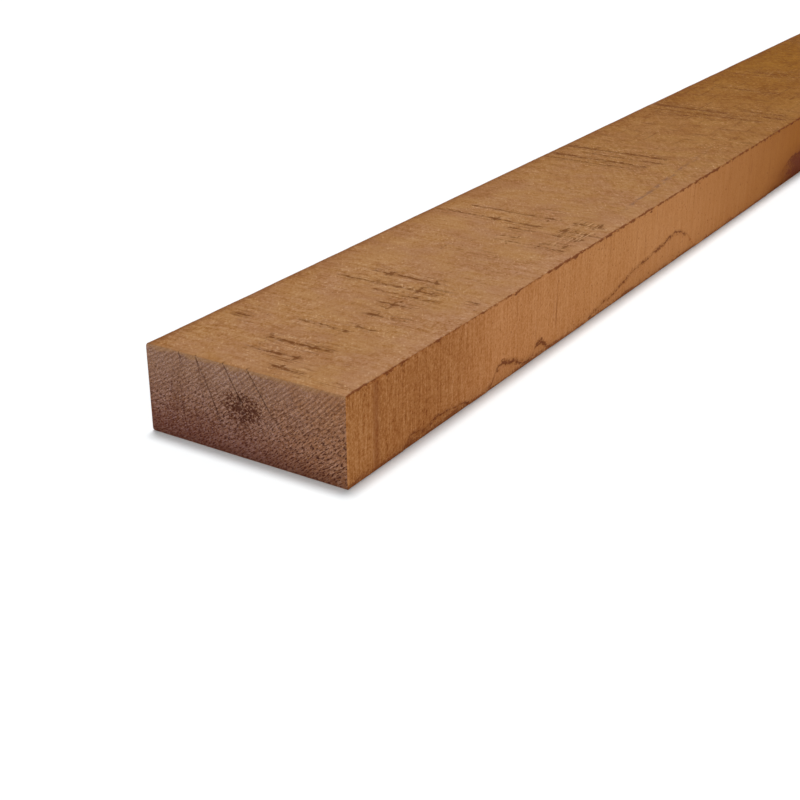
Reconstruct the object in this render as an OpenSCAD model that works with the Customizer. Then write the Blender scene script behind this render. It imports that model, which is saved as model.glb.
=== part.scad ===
// Rough-sawn hardwood plank: one stick of timber, sawn on four faces, crosscut square at both ends and air dried.
// The length runs along Y with the checked end at -Y, the width along X and the thickness along Z.
// The origin is under the middle of the plank, on the face that it lies on. All sizes are in millimetres.

/* [Sawn size] */
// Length between the two crosscut ends
plank_length = 2500; // [1800:50:6000]
// Width across the sawn faces
plank_width = 150; // [100:5:300]
// Thickness
plank_thickness = 60; // [32:1:100]

/* [Arrises] */
// Wear radius of the upper left arris
upper_left_arris = 3; // [0.5:0.1:5]
// Wear radius of the lower left arris
lower_left_arris = 2; // [0.5:0.1:5]
// Wear radius of the upper right arris
upper_right_arris = 0.8; // [0.5:0.1:5]
// Wear radius of the lower right arris
lower_right_arris = 1; // [0.5:0.1:5]

/* [Place in the log] */
// How far the pith of the log lay to the left of the plank's middle
pith_left = 120; // [0:5:400]
// How far the pith of the log lay above the top face
pith_rise = 190; // [50:5:600]

/* [Drying checks] */
// Where each check meets the top face, from the left side
check_places = [27, 40, 61, 79]; // [5:1:95]
// How far each check reaches down its ray from the top face
check_reaches = [9, 46, 28, 33]; // [3:1:50]
// How wide each check gapes at the end face
check_gapes = [0.4, 0.5, 0.7, 0.8]; // [0.1:0.1:2]
// How deep a check runs into the plank for each millimetre of its gape
check_run_ratio = 50; // [20:1:100]

/* [Torn edge] */
// How deep the flakes along the lower right arris are torn out
flake_depth = 0.8; // [0.3:0.1:2]
// How deep the bark pocket in the lower right arris is
bark_pocket_depth = 1.6; // [0.3:0.1:3]

/* [Hidden] */
$fn = 48;
wood = [0.64, 0.47, 0.31];
// How far a cutting shape stands past the face that it cuts
overcut = 1;
pith = [-pith_left, plank_thickness + pith_rise];
// Outlines of the torn places, as [distance from the checked end, height above the underside]
near_flake = [[58, 0], [66, 7], [72, 9], [82, 6], [92, 7.5], [117, 6.5], [128, 6], [142, 0]];
humped_flake = [
    [160, 0], [168, 5.5], [174, 12.5], [181, 15], [189, 11.5], [205, 7.5], [216, 2.5],
    [226, 4.5], [232, 10.5], [238, 11.5], [244, 7], [256, 0]
];
long_flake = [
    [308, 0], [320, 3.5], [335, 7.5], [351, 7.5], [372, 12.5], [402, 17.5], [433, 20],
    [465, 24.5], [474, 27], [488, 22], [503, 16], [512, 8], [520, 0]
];
bark_pocket = [[700, 0], [708, 6.5], [735, 15], [763, 24.5], [792, 23], [820, 10], [838, 0]];

// Angle from upright of the ray that leads from the pith to a place on the top face
function ray_lean(x) = atan2(x - pith[0], pith[1] - plank_thickness);

// The corner that wear takes off an arris, with the arris at the origin and the wood towards +X and +Y
module worn_corner(radius) {
    difference() {
        translate([-overcut, -overcut]) square(radius + overcut);
        translate([radius, radius]) circle(radius);
    }
}

// Cross-section of the plank, seen along the grain: width along X and thickness along Y
module sawn_section() {
    difference() {
        translate([-plank_width / 2, 0]) square([plank_width, plank_thickness]);
        translate([-plank_width / 2, 0]) worn_corner(lower_left_arris);
        translate([plank_width / 2, 0]) rotate(90) worn_corner(lower_right_arris);
        translate([plank_width / 2, plank_thickness]) rotate(180) worn_corner(upper_right_arris);
        translate([-plank_width / 2, plank_thickness]) rotate(270) worn_corner(upper_left_arris);
    }
}

// The sawn stick before it dried and was handled
module sawn_stick() {
    translate([0, plank_length / 2, 0]) rotate([90, 0, 0]) linear_extrude(plank_length) sawn_section();
}

// A drying check: a wedge that opens at the end face, follows a ray down from the top face and closes along the grain
module drying_check(place, reach, gape) {
    x = place - plank_width / 2;
    run = gape * check_run_ratio;
    translate([x, -plank_length / 2, plank_thickness])
        rotate([0, 180 - ray_lean(x), 0])
            translate([0, 0, -overcut])
                linear_extrude(reach + overcut)
                    polygon([[-gape / 2, -overcut], [gape / 2, -overcut], [gape / 2, 0], [0, run], [-gape / 2, 0]]);
}

// A shallow place torn out of the right side, open at the underside
module torn_place(outline, depth) {
    first = outline[0][0];
    last = outline[len(outline) - 1][0];
    translate([plank_width / 2 - depth, -plank_length / 2, 0])
        rotate([90, 0, 90])
            linear_extrude(depth + overcut)
                polygon(concat(outline, [[last, -overcut], [first, -overcut]]));
}

module plank() {
    color(wood)
        difference() {
            sawn_stick();
            for (i = [0 : len(check_places) - 1])
                drying_check(check_places[i], check_reaches[i], check_gapes[i]);
            for (outline = [near_flake, humped_flake, long_flake])
                torn_place(outline, flake_depth);
            torn_place(bark_pocket, bark_pocket_depth);
        }
}

plank();
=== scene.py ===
"""Looks of a rough-sawn hardwood plank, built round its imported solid.

The plank is one closed surface. A worn section is carried along the grain, with the saw's marks, torn places
and drying checks pressed into it, and a grid of end grain closes each end. Shapes are worked out in
millimetres in the plank's own frame, with x across, y along the grain and z up, and become metres in
the mesh. Distances along the plank start at its checked end.
"""

import logging
import math
from collections.abc import Mapping, Sequence
from dataclasses import dataclass, field
from enum import IntEnum
from functools import cached_property, reduce

import bpy
import numpy as np
from mathutils import Matrix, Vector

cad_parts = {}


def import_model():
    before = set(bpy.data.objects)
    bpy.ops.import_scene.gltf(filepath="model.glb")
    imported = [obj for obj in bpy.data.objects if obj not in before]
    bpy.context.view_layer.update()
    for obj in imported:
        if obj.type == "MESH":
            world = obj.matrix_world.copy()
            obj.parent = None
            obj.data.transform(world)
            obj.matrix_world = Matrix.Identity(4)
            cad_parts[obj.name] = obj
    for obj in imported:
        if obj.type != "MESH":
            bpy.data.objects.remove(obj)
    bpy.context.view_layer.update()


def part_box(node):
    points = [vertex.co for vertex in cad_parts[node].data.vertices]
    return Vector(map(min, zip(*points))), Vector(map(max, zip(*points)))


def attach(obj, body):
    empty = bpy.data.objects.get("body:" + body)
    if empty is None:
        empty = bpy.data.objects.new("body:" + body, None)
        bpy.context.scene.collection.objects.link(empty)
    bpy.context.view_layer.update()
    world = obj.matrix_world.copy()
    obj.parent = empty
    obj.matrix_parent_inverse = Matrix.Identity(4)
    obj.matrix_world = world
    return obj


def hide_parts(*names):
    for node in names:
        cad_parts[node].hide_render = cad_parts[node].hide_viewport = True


LOG = logging.getLogger("plank")
NODE = "plank"
BODY = "root"
MM = 0.001
HALF = 0.5
RIGHT_ANGLE = 90.0
WHITE = (1.0, 1.0, 1.0, 1.0)
# The curve by which a screen shows linear light
SCREEN_STEPS = 255.0
TOE_END = 0.04045
TOE_SLOPE = 12.92
CURVE_SHIFT = 0.055
CURVE_POWER = 2.4
# Degrees between an arris's points, their number, and how many of the first arris's come before the top's
ARRIS_STEP = 22.5
ARRIS_POINTS = 3
ARRIS_LEAD = 2
# An outward direction with more than this of one axis is square to its face
SQUARE = 0.99
SHARP_ANGLE = math.radians(40.0)
# Wood that is shaded keeps at least this much of its colour, and each channel dims by its own power
DARKEST = 0.05
FULLNESS = (0.62, 1.0, 1.7)
DRY_GLOSS = 0.08
# Sockets of a Mix node that blends colours: its share, its two colours and its result
MIX_SHARE = 0
MIX_FIRST = 6
MIX_SECOND = 7
MIX_RESULT = 2
# Vertex values that colour the wood; torn also carries painted shadow and shade at the torn edge
VALUE_NAMES = ("saw_mark", "scored", "torn")
Array = np.ndarray
Colour = tuple[float, float, float, float]
Span = tuple[float, float]
# Where a rise begins, where it ends and, unless it is 1, how high it goes
Rise = tuple[float, ...]
Outline = tuple[tuple[float, float], ...]


def srgb(red: int, green: int, blue: int) -> Colour:
    """A colour as it looks on a screen, in steps of 0 to 255, as the linear colour that shaders use.

    Args:
        red: Red as shown.
        green: Green as shown.
        blue: Blue as shown.

    Returns:
        Linear red, green, blue and an alpha of 1.
    """
    shown = np.array([red, green, blue]) / SCREEN_STEPS
    curve = ((shown + CURVE_SHIFT) / (1.0 + CURVE_SHIFT)) ** CURVE_POWER
    linear = np.where(shown <= TOE_END, shown / TOE_SLOPE, curve)
    return (*(float(value) for value in linear), 1.0)


def eased(low: float, high: float, value: Array) -> Array:
    """Share of the way from low to high, with level ends: 3s² - 2s³ of the straight share s."""
    share = np.clip((value - low) / (high - low), 0.0, 1.0)
    return share * share * (3.0 - 2.0 * share)


def fading(distance: Array, reach: Array | float) -> Array:
    """1 at no distance, falling straight to 0 at the reach."""
    return np.clip(1.0 - distance / reach, 0.0, 1.0)


def linked(name: str, data: bpy.types.ID) -> bpy.types.Object:
    """Makes an object of a mesh, light or camera and links it to the scene.

    Args:
        name: Name of the object.
        data: What it shows.

    Returns:
        The object.
    """
    thing = bpy.data.objects.new(name, data)
    bpy.context.scene.collection.objects.link(thing)
    return thing


class Face(IntEnum):
    """The material slots of the plank's mesh."""

    SAWN_FACE = 0
    SAWN_SIDE = 1
    END_GRAIN = 2


@dataclass(frozen=True)
class Unevenness:
    """Smooth random heights on a lattice, whose pitch is in millimetres.

    A place takes the heights of the four lattice points round it, weighed by an eased share of the way across
    the cell. Each finer layer halves the lattice's pitch and its height.
    """

    seed: int
    pitch: Span
    layers: int = 3
    cells: int = 512

    def at(self, along: Array, across: Array | float) -> Array:
        """Heights at places.

        Args:
            along: First coordinate.
            across: Second coordinate.

        Returns:
            Heights of about -1 to 1.
        """
        lattice = np.random.default_rng(self.seed).uniform(-1.0, 1.0, (self.cells, self.cells))
        rows, columns = np.broadcast_arrays(along / self.pitch[0], across / self.pitch[1])
        scales = 2.0 ** np.arange(self.layers)
        heights = [self._layer(lattice, rows * scale, columns * scale) / scale for scale in scales]
        return np.sum(heights, axis=0) / np.sum(1.0 / scales)

    def share(self, along: Array, across: Array | float) -> Array:
        """Heights at places, from about 0 to 1."""
        return HALF + HALF * self.at(along, across)

    def _layer(self, lattice: Array, along: Array, across: Array) -> Array:
        """Heights of one layer: the lattice blended between its points.

        Args:
            lattice: Heights of the lattice's points.
            along: First coordinate, in pitches.
            across: Second coordinate, in pitches.

        Returns:
            Heights of about -1 to 1.
        """
        row = np.floor(along).astype(int)
        column = np.floor(across).astype(int)
        down = eased(0.0, 1.0, along - row)
        right = eased(0.0, 1.0, across - column)
        rows = (row % self.cells, (row + 1) % self.cells)
        here, beside = column % self.cells, (column + 1) % self.cells
        near, far = (
            lattice[line, here] + (lattice[line, beside] - lattice[line, here]) * right for line in rows
        )
        return near + (far - near) * down


@dataclass(frozen=True)
class DryingCheck:
    """A crack that opens at the end face and follows a ray of the log down from the top face."""

    place: float
    reach: float
    gape: float
    run_ratio: float = 50.0
    lip_share: float = 0.08
    lip_reach: float = 5.0
    open_share: float = 0.65

    @property
    def run(self) -> float:
        """How deep the check runs into the plank."""
        return self.gape * self.run_ratio

    def openness(self, down: Array) -> Array:
        return 1.0 - eased(self.open_share * self.reach, self.reach, down)

    def depth(self, down: Array) -> Array:
        """Depth at distances down the ray: the check's run, less near the top face and where it closes."""
        lip = self.lip_share + (1.0 - self.lip_share) * eased(0.0, self.lip_reach, down)
        return self.run * self.openness(down) * lip


@dataclass(frozen=True)
class SawMark:
    """A score that the saw left across the top: its distance along, and its reach from the left side."""

    place: float
    start: float
    end: float
    strength: float
    half_width: float = 3.0


@dataclass(frozen=True)
class SawMarks:
    """All the scores: those near the checked end one by one, and groups of like ones over the rest."""

    # Distance along, reach from the left side, strength and, where it is wider, half width
    named: tuple[SawMark, ...] = tuple(SawMark(*row) for row in (
        (12.5, 85, 112, 0.8), (12.5, 124, 148, 0.5), (29.5, 56, 98, 0.8), (47.5, 56, 106, 1.0),
        (69, 13, 30, 1.0), (81, 55, 100, 0.65), (90, 86, 112, 0.5), (112.5, 85, 118, 0.75),
        (127, 86, 98, 0.45), (135, 80, 110, 0.75), (152.5, 65, 116, 0.7), (164.5, 28, 110, 0.95),
        (165, 132, 141, 0.9), (173, 88, 115, 0.55),
        (184, 45, 102, 0.95), (255, 55, 110, 0.35), (290, 80, 140, 0.55), (299, 80, 100, 0.55),
        (299, 118, 140, 0.75), (319, 74, 100, 0.75), (319, 116, 140, 0.85), (332.5, 5, 102, 0.75),
        (332.5, 115, 148, 1.0), (354, 24, 104, 0.75), (354, 115, 142, 0.95), (375, 76, 104, 0.4),
        (518, 2, 96, 0.7, 4.0), (531, 2, 98, 1.0, 4.5), (547, 25, 108, 0.75, 4.0), (562, 3, 104, 1.0, 4.5),
        (727, 20, 84, 0.7, 4.5), (740, 15, 125, 0.85, 5.0), (756, 4, 86, 1.0, 6.0), (760, 104, 142, 0.8, 4.5),
        (775, 88, 138, 0.9, 5.0), (868, 30, 96, 0.7, 6.0),
    ))
    first_group: float = 930.0
    group_pitch: float = 205.0
    group_size: int = 5
    pitch: float = 14.0
    jitter: float = 0.3
    later_starts: Span = (2.0, 70.0)
    later_reaches: Span = (25.0, 75.0)
    later_strengths: Span = (0.4, 1.0)
    later_half_width: float = 5.0
    torn_spread: float = 4.0
    soft_end: float = 5.0
    seed: int = 11

    def all(self, length: float) -> tuple[SawMark, ...]:
        """The named scores, then groups of random reach and strength at an even pitch.

        Args:
            length: Length of the plank.

        Returns:
            The scores.
        """
        random = np.random.default_rng(self.seed)
        groups = np.arange(self.first_group, length - self.group_size * self.pitch, self.group_pitch)
        places = (groups[:, None] + np.arange(self.group_size) * self.pitch).ravel()
        places = places + random.uniform(-self.jitter, self.jitter, places.size) * self.pitch
        starts = random.uniform(*self.later_starts, places.size)
        ends = starts + random.uniform(*self.later_reaches, places.size)
        strengths = random.uniform(*self.later_strengths, places.size)
        later = np.stack([places, starts, ends, strengths], axis=-1).tolist()
        return (*self.named, *(SawMark(*values, self.later_half_width) for values in later))

    def strength(self, length: float, along: Array, from_left: Array, spread: float) -> Array:
        """Strength of the scores: each rises straight to its middle, and fades softly at both of its ends.

        Args:
            length: Length of the plank.
            along: Distances along the plank.
            from_left: Distances from the left side.
            spread: How far from its middle a score has faded out, in its half widths.

        Returns:
            Strengths from 0 to 1.
        """
        total = np.zeros_like(along)
        soft = self.soft_end
        for mark in self.all(length):
            line = fading(np.abs(along - mark.place), spread * mark.half_width)
            begun = eased(mark.start - soft, mark.start + soft, from_left)
            ended = eased(mark.end - soft, mark.end + soft, from_left)
            total = np.maximum(total, mark.strength * line * begun * (1.0 - ended))
        return total


@dataclass(frozen=True)
class HairCrack:
    """A fine crack in the end grain between two places, each from the left side and below the top face."""

    start: Span
    end: Span
    strength: float
    half_width: float = 0.8

    def at(self, from_left: "Signal", below_top: "Signal") -> "Signal":
        """How dark the crack is: full on the line between the two places, and none at its half width.

        Args:
            from_left: Distances from the left side.
            below_top: Distances below the top face.

        Returns:
            Values from 0 to the crack's strength.
        """
        run_x = self.end[0] - self.start[0]
        run_z = self.end[1] - self.start[1]
        aside = from_left - self.start[0]
        below = below_top - self.start[1]
        share = ((aside * run_x + below * run_z) / (run_x * run_x + run_z * run_z)).clamped()
        off_x = aside - share * run_x
        off_z = below - share * run_z
        distance = (off_x * off_x + off_z * off_z) ** HALF
        return distance.step(self.half_width, 0.0, self.strength)


@dataclass(frozen=True)
class TornEdge:
    """Flakes and a bark pocket torn out of the right side along its lower arris.

    Each outline is a row of distances along the plank and heights above the underside.
    """

    near: Outline = ((58, 0), (66, 7), (72, 9), (82, 6), (92, 7.5), (117, 6.5), (128, 6), (142, 0))
    humped: Outline = (
        (160, 0), (168, 5.5), (174, 12.5), (181, 15), (189, 11.5), (205, 7.5), (216, 2.5),
        (226, 4.5), (232, 10.5), (238, 11.5), (244, 7), (256, 0),
    )
    long: Outline = (
        (308, 0), (320, 3.5), (335, 7.5), (351, 7.5), (372, 12.5), (402, 17.5), (433, 20),
        (465, 24.5), (474, 27), (488, 22), (503, 16), (512, 8), (520, 0),
    )
    bark_pocket: Outline = ((700, 0), (708, 6.5), (735, 15), (763, 24.5), (792, 23), (820, 10), (838, 0))
    flake_depth: float = 0.8
    bark_depth: float = 1.6
    least_height: float = 3.0
    lip: float = 0.5
    torn_from: Span = (0.3, 2.5)
    # Darkness of the torn lip, which is torn grain with painted shadow under the edge
    low_lip: float = 0.55
    high_lip: Span = (5.0, 13.0)
    faint: float = 0.85
    smudge: float = 0.9
    smudge_length: float = 45.0
    bark_opens: Span = (720.0, 800.0)
    ragged: float = 1.6
    ragged_from: Span = (0.5, 4.0)
    roughness: Unevenness = Unevenness(21, (9.0, 1.0))

    def height(self, along: Array) -> Array:
        """Height of the torn edge above the underside: straight between the outlines' points, and ragged.

        Args:
            along: Distances along the plank.

        Returns:
            Heights, which are 0 where nothing is torn.
        """
        points = np.array([*self.near, *self.humped, *self.long, *self.bark_pocket])
        smooth = np.interp(along, points[:, 0], points[:, 1], left=0.0, right=0.0)
        rough = self.ragged * self.roughness.at(along, 0.0)
        return smooth + rough * eased(*self.ragged_from, smooth)

    def edge(self, along: Array) -> Array:
        """Height of the torn edge, or a least height where nothing is torn."""
        return np.maximum(self.height(along), self.least_height)

    def strength(self, along: Array) -> Array:
        """How dark the torn lip and its painted shadow are: fainter where low or long, darker as the bark
        pocket opens.

        Args:
            along: Distances along the plank.

        Returns:
            Strengths from 0 to 1.
        """
        height = self.height(along)
        torn = self.low_lip + (1.0 - self.low_lip) * eased(*self.high_lip, height)
        long_start, long_end = self.long[0][0], self.long[-1][0]
        on_long = (along >= long_start) & (along <= long_end)
        smudged = 1.0 - self.smudge * eased(long_end - self.smudge_length, long_end, along)
        opened = np.where(self.in_pocket(along), eased(*self.bark_opens, along), 1.0)
        return eased(*self.torn_from, height) * torn * np.where(on_long, self.faint * smudged, opened)

    def in_pocket(self, along: Array) -> Array:
        """Whether each distance along the plank lies within the bark pocket."""
        return (along >= self.bark_pocket[0][0]) & (along <= self.bark_pocket[-1][0])

    def depth(self, along: Array) -> Array:
        """How deep the torn places are, with the bark pocket deeper than the flakes, and 0 elsewhere."""
        torn = eased(*self.torn_from, self.height(along))
        return torn * np.where(self.in_pocket(along), self.bark_depth, self.flake_depth)


@dataclass(frozen=True)
class Round:
    """Points round the section: their places, one row for each station, and their outward directions."""

    x: Array
    z: Array
    out_x: Array
    out_z: Array
    columns: int
    rows: int
    columns_below: int

    @property
    def count(self) -> int:
        """Number of points."""
        return self.out_x.size

    @property
    def turn(self) -> Array:
        """Share of the way round at which each point lies, by straight steps along the first row.

        Returns:
            Shares from 0 up, one for each point.
        """
        step_x = np.diff(self.x[0], append=self.x[0, :1])
        step_z = np.diff(self.z[0], append=self.z[0, :1])
        way = np.cumsum(np.hypot(step_x, step_z))
        return np.concatenate([[0.0], way[:-1]]) / way[-1]

    @property
    def slots(self) -> Array:
        """Sorts the steps from point to point: the top's and the underside's are faces, the rest sides.

        Returns:
            The material slot of each step.
        """
        step = np.arange(self.count)
        under = self.columns + self.rows
        on_face = (step < self.columns) | (step >= under) & (step < under + self.columns_below)
        return np.where(on_face, Face.SAWN_FACE, Face.SAWN_SIDE)

    def edges(self, values: Array) -> tuple[Array, Array, Array, Array]:
        """Cuts the values round an end into its four edges, which share their corners.

        Args:
            values: A value or a place for each point.

        Returns:
            The top and bottom from left to right, and the right and left from the top down, in the order
            top, right, bottom, left.
        """
        under = self.columns + self.rows
        top = values[: self.columns + 1]
        right = values[self.columns : under + 1]
        bottom = values[under : under + self.columns + 1][::-1]
        left = np.concatenate([values[under + self.columns :], values[:1]])[::-1]
        return top, right, bottom, left


@dataclass(frozen=True)
class Section:
    """The plank's cross-section: its width, thickness and the wear radius of each arris."""

    width: float
    thickness: float
    upper_left: float = 3.0
    upper_right: float = 0.8
    lower_right: float = 1.0
    lower_left: float = 2.0

    @property
    def right(self) -> float:
        """Place of the right side."""
        return self.width / 2.0

    def round(self, tops: Array, rights: Array, bottoms: Array, lefts: Array) -> Round:
        """A closed row of points round the worn section, clockwise from the middle of the upper left arris.

        An arris is a quarter of a circle that touches both faces. The points between arrises lie on the faces
        at the places given.

        Args:
            tops: Places across the top face, from left to right.
            rights: Heights on the right side, from the top down, with one row for each station.
            bottoms: Places across the underside, from right to left.
            lefts: Heights on the left side, from the underside up.

        Returns:
            The points, with one row for each station.
        """
        down = rights.shape[1]
        pieces = [
            self._arc(-1, 1, self.upper_left, 0, -1),
            (tops, self.thickness, np.full(tops.size, RIGHT_ANGLE)),
            self._arc(1, 1, self.upper_right, 1, 0, -1),
            (self.right, rights, np.zeros(down)),
            self._arc(1, -1, self.lower_right, 1, 0, -1),
            (bottoms, 0.0, np.full(bottoms.size, -RIGHT_ANGLE)),
            self._arc(-1, -1, self.lower_left, 1, 0, -1),
            (-self.right, lefts, np.full(lefts.size, 2.0 * RIGHT_ANGLE)),
            self._arc(-1, 1, self.upper_left, 1),
        ]
        stations = rights.shape[0]
        rows = [[np.broadcast_to(part, (stations, piece[2].size)) for part in piece[:2]] for piece in pieces]
        x, z = (np.concatenate(parts, axis=1) for parts in zip(*rows))
        angle = np.radians(np.concatenate([piece[2] for piece in pieces]))
        return Round(
            x=x,
            z=z,
            out_x=np.cos(angle),
            out_z=np.sin(angle),
            columns=tops.size + ARRIS_POINTS,
            rows=down + ARRIS_POINTS,
            columns_below=bottoms.size + ARRIS_POINTS,
        )

    def _arc(self, side: int, height: int, radius: float, *turns: int) -> tuple[Array, Array, Array]:
        """Points on one arris.

        Args:
            side: 1 for the right side, or -1 for the left.
            height: 1 for the top face, or -1 for the underside.
            radius: Wear radius of the arris.
            turns: Steps of each point from the middle of the arris, anticlockwise.

        Returns:
            Their x, their z and the angles of their outward directions.
        """
        middle = self.thickness / 2.0
        angle = math.degrees(math.atan2(height, side)) + ARRIS_STEP * np.array(turns)
        x = side * (self.right - radius) + radius * np.cos(np.radians(angle))
        z = middle + height * (middle - radius) + radius * np.sin(np.radians(angle))
        return x, z, angle


@dataclass
class Skin:
    """Vertices, faces and vertex values that are gathered into one closed mesh."""

    points: list[Array] = field(default_factory=list)
    values: list[Array] = field(default_factory=list)
    quads: list[Array] = field(default_factory=list)
    quad_slots: list[Array] = field(default_factory=list)
    triangles: list[Array] = field(default_factory=list)
    triangle_slots: list[Array] = field(default_factory=list)
    count: int = 0

    def add_points(self, points: Array, values: Array) -> Array:
        """Adds vertices.

        Args:
            points: Places, with x, y and z last.
            values: Vertex values of each, in the order of their names.

        Returns:
            The numbers of the vertices, in the shape of the places.
        """
        shape = points.shape[:-1]
        numbers = self.count + np.arange(math.prod(shape)).reshape(shape)
        self.points.append(points.reshape(-1, 3))
        self.values.append(values.reshape(-1, len(VALUE_NAMES)))
        self.count += numbers.size
        return numbers

    def add_quads(self, first: Array, second: Array, third: Array, fourth: Array, slots: Array) -> None:
        """Adds a four-sided face for each set of four vertex numbers, in outward order."""
        self.quads.append(np.stack([first, second, third, fourth], axis=-1).reshape(-1, 4))
        self.quad_slots.append(np.broadcast_to(slots, first.shape).ravel())

    def add_tube(self, numbers: Array, slots: Array) -> None:
        """Adds the faces between closed rows of vertices, one row a station, by the slot of each step."""
        after = np.roll(numbers, -1, axis=1)
        self.add_quads(numbers[:-1], after[:-1], after[1:], numbers[1:], slots)

    def add_zip(self, near: Array, near_turn: Array, far: Array, far_turn: Array, slots: Array) -> None:
        """Joins two closed rows of vertices that have different counts.

        The steps of both rows are taken in the order in which they end, and each makes a triangle with the
        point that the other row has reached.

        Args:
            near: Vertex numbers of the row nearer to the checked end.
            near_turn: Share of the way round of each of them.
            far: Vertex numbers of the other row.
            far_turn: Share of the way round of each of them.
            slots: Material slot of each step of the near row.
        """
        ends = np.concatenate([near_turn[1:], [1.0], far_turn[1:], [1.0]])
        near_steps = np.argsort(ends, kind="stable") < near.size
        at_near = np.cumsum(near_steps) - near_steps
        at_far = np.cumsum(~near_steps) - ~near_steps
        here = near[at_near % near.size]
        there = far[at_far % far.size]
        ahead = np.where(near_steps, near[(at_near + 1) % near.size], far[(at_far + 1) % far.size])
        self.triangles.append(np.stack([here, ahead, there], axis=-1))
        self.triangle_slots.append(slots[at_near % near.size])

    def mesh(self, name: str) -> bpy.types.Mesh:
        """Makes the mesh, in metres, with its material slots and vertex values.

        Args:
            name: Name of the mesh.

        Returns:
            The mesh.
        """
        mesh = bpy.data.meshes.new(name)
        faces = np.concatenate(self.quads).tolist() + np.concatenate(self.triangles).tolist()
        mesh.from_pydata(np.concatenate(self.points) * MM, [], faces)
        slots = np.concatenate([*self.quad_slots, *self.triangle_slots]).astype(np.int32)
        mesh.polygons.foreach_set("material_index", slots)
        for label, values in zip(VALUE_NAMES, np.concatenate(self.values).T):
            layer = mesh.attributes.new(label, "FLOAT", "POINT")
            layer.data.foreach_set("value", np.ascontiguousarray(values, np.float32))
        mesh.update()
        return mesh


@dataclass(frozen=True)
class FlatLayout:
    """Places of the faces on one square sheet, which the model's colours can be kept on.

    The length is cut into four, and each quarter's top, right side, underside and left side lie side by
    side in a cell of the sheet. The two ends take the last two cells, enlarged. The sheet has two columns
    of three cells.
    """

    map_name: str = "OFBake"
    quarters: int = 4
    columns: int = 2
    rows: int = 3
    overlap: float = 6.0

    def lay_out(self, mesh: bpy.types.Mesh, length: float, section: Section) -> None:
        """Gives each corner of each face its place on the sheet, by the side that the face looks to.

        Args:
            mesh: The plank's mesh.
            length: Length of the plank.
            section: Cross-section of the plank.
        """
        faces = mesh.polygons
        owner = np.repeat(np.arange(len(faces)), self._read(faces, "loop_total", 1, np.int32)[:, 0])
        corner = self._read(mesh.loops, "vertex_index", 1, np.int32)[:, 0]
        x, y, z = self._read(mesh.vertices, "co", 3)[corner].T / MM
        out_x, _, out_z = self._read(faces, "normal", 3)[owner].T
        middle = self._read(faces, "center", 3)[owner, 1] / MM
        at_end = self._read(faces, "material_index", 1, np.int32)[owner, 0] == Face.END_GRAIN
        level = np.abs(out_z) > np.abs(out_x)
        sides = [level & (out_z > 0.0), ~level & (out_x > 0.0), level]
        width = section.width
        from_left = x + section.right
        round_right = width + section.thickness
        ways = [from_left, round_right - z, round_right + width - from_left]
        way = np.select(sides, ways, round_right + width + z) / (2.0 * round_right)
        reach = length / self.quarters
        quarter = np.clip(np.floor((middle + length / 2.0) / reach), 0, self.quarters - 1)
        run = (y + length / 2.0 - quarter * reach + self.overlap) / (reach + 2.0 * self.overlap)
        column = np.where(at_end, middle > 0.0, quarter % self.columns)
        row = np.where(at_end, self.rows - 1, quarter // self.columns)
        over = np.where(at_end, from_left / width, run)
        up = np.where(at_end, z / section.thickness, way)
        sheet = np.stack([(column + over) / self.columns, (row + up) / self.rows], axis=-1)
        layer = mesh.uv_layers.new(name=self.map_name)
        layer.data.foreach_set("uv", sheet.astype(np.float32).ravel())

    def _read(
        self, items: bpy.types.bpy_prop_collection, name: str, count: int, kind: type = np.float32
    ) -> Array:
        """Reads one property of every item of a mesh.

        Args:
            items: The mesh's vertices, corners or faces.
            name: Name of the property.
            count: How many numbers it has.
            kind: Type of the numbers.

        Returns:
            The numbers, with one row for each item.
        """
        values = np.empty(len(items) * count, kind)
        items.foreach_get(name, values)
        return values.reshape(-1, count)


@dataclass(frozen=True)
class Fineness:
    """How finely a stretch is divided: its longest step along, and its counts of steps and rows of points."""

    step: float
    left_rows: int
    upper_rows: int
    lower_rows: int
    top_steps: int = 0
    bottom_steps: int = 0


@dataclass(frozen=True)
class Stretch:
    """A length of the plank whose surface has one fineness, with the places of its points across."""

    start: float
    end: float
    fineness: Fineness
    tops: Array
    bottoms: Array
    lefts: Array


@dataclass(frozen=True)
class Tube:
    """The long faces of one stretch: the section's points, and the numbers and places of the vertices."""

    stretch: Stretch
    ring: Round
    numbers: Array
    points: Array


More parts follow.
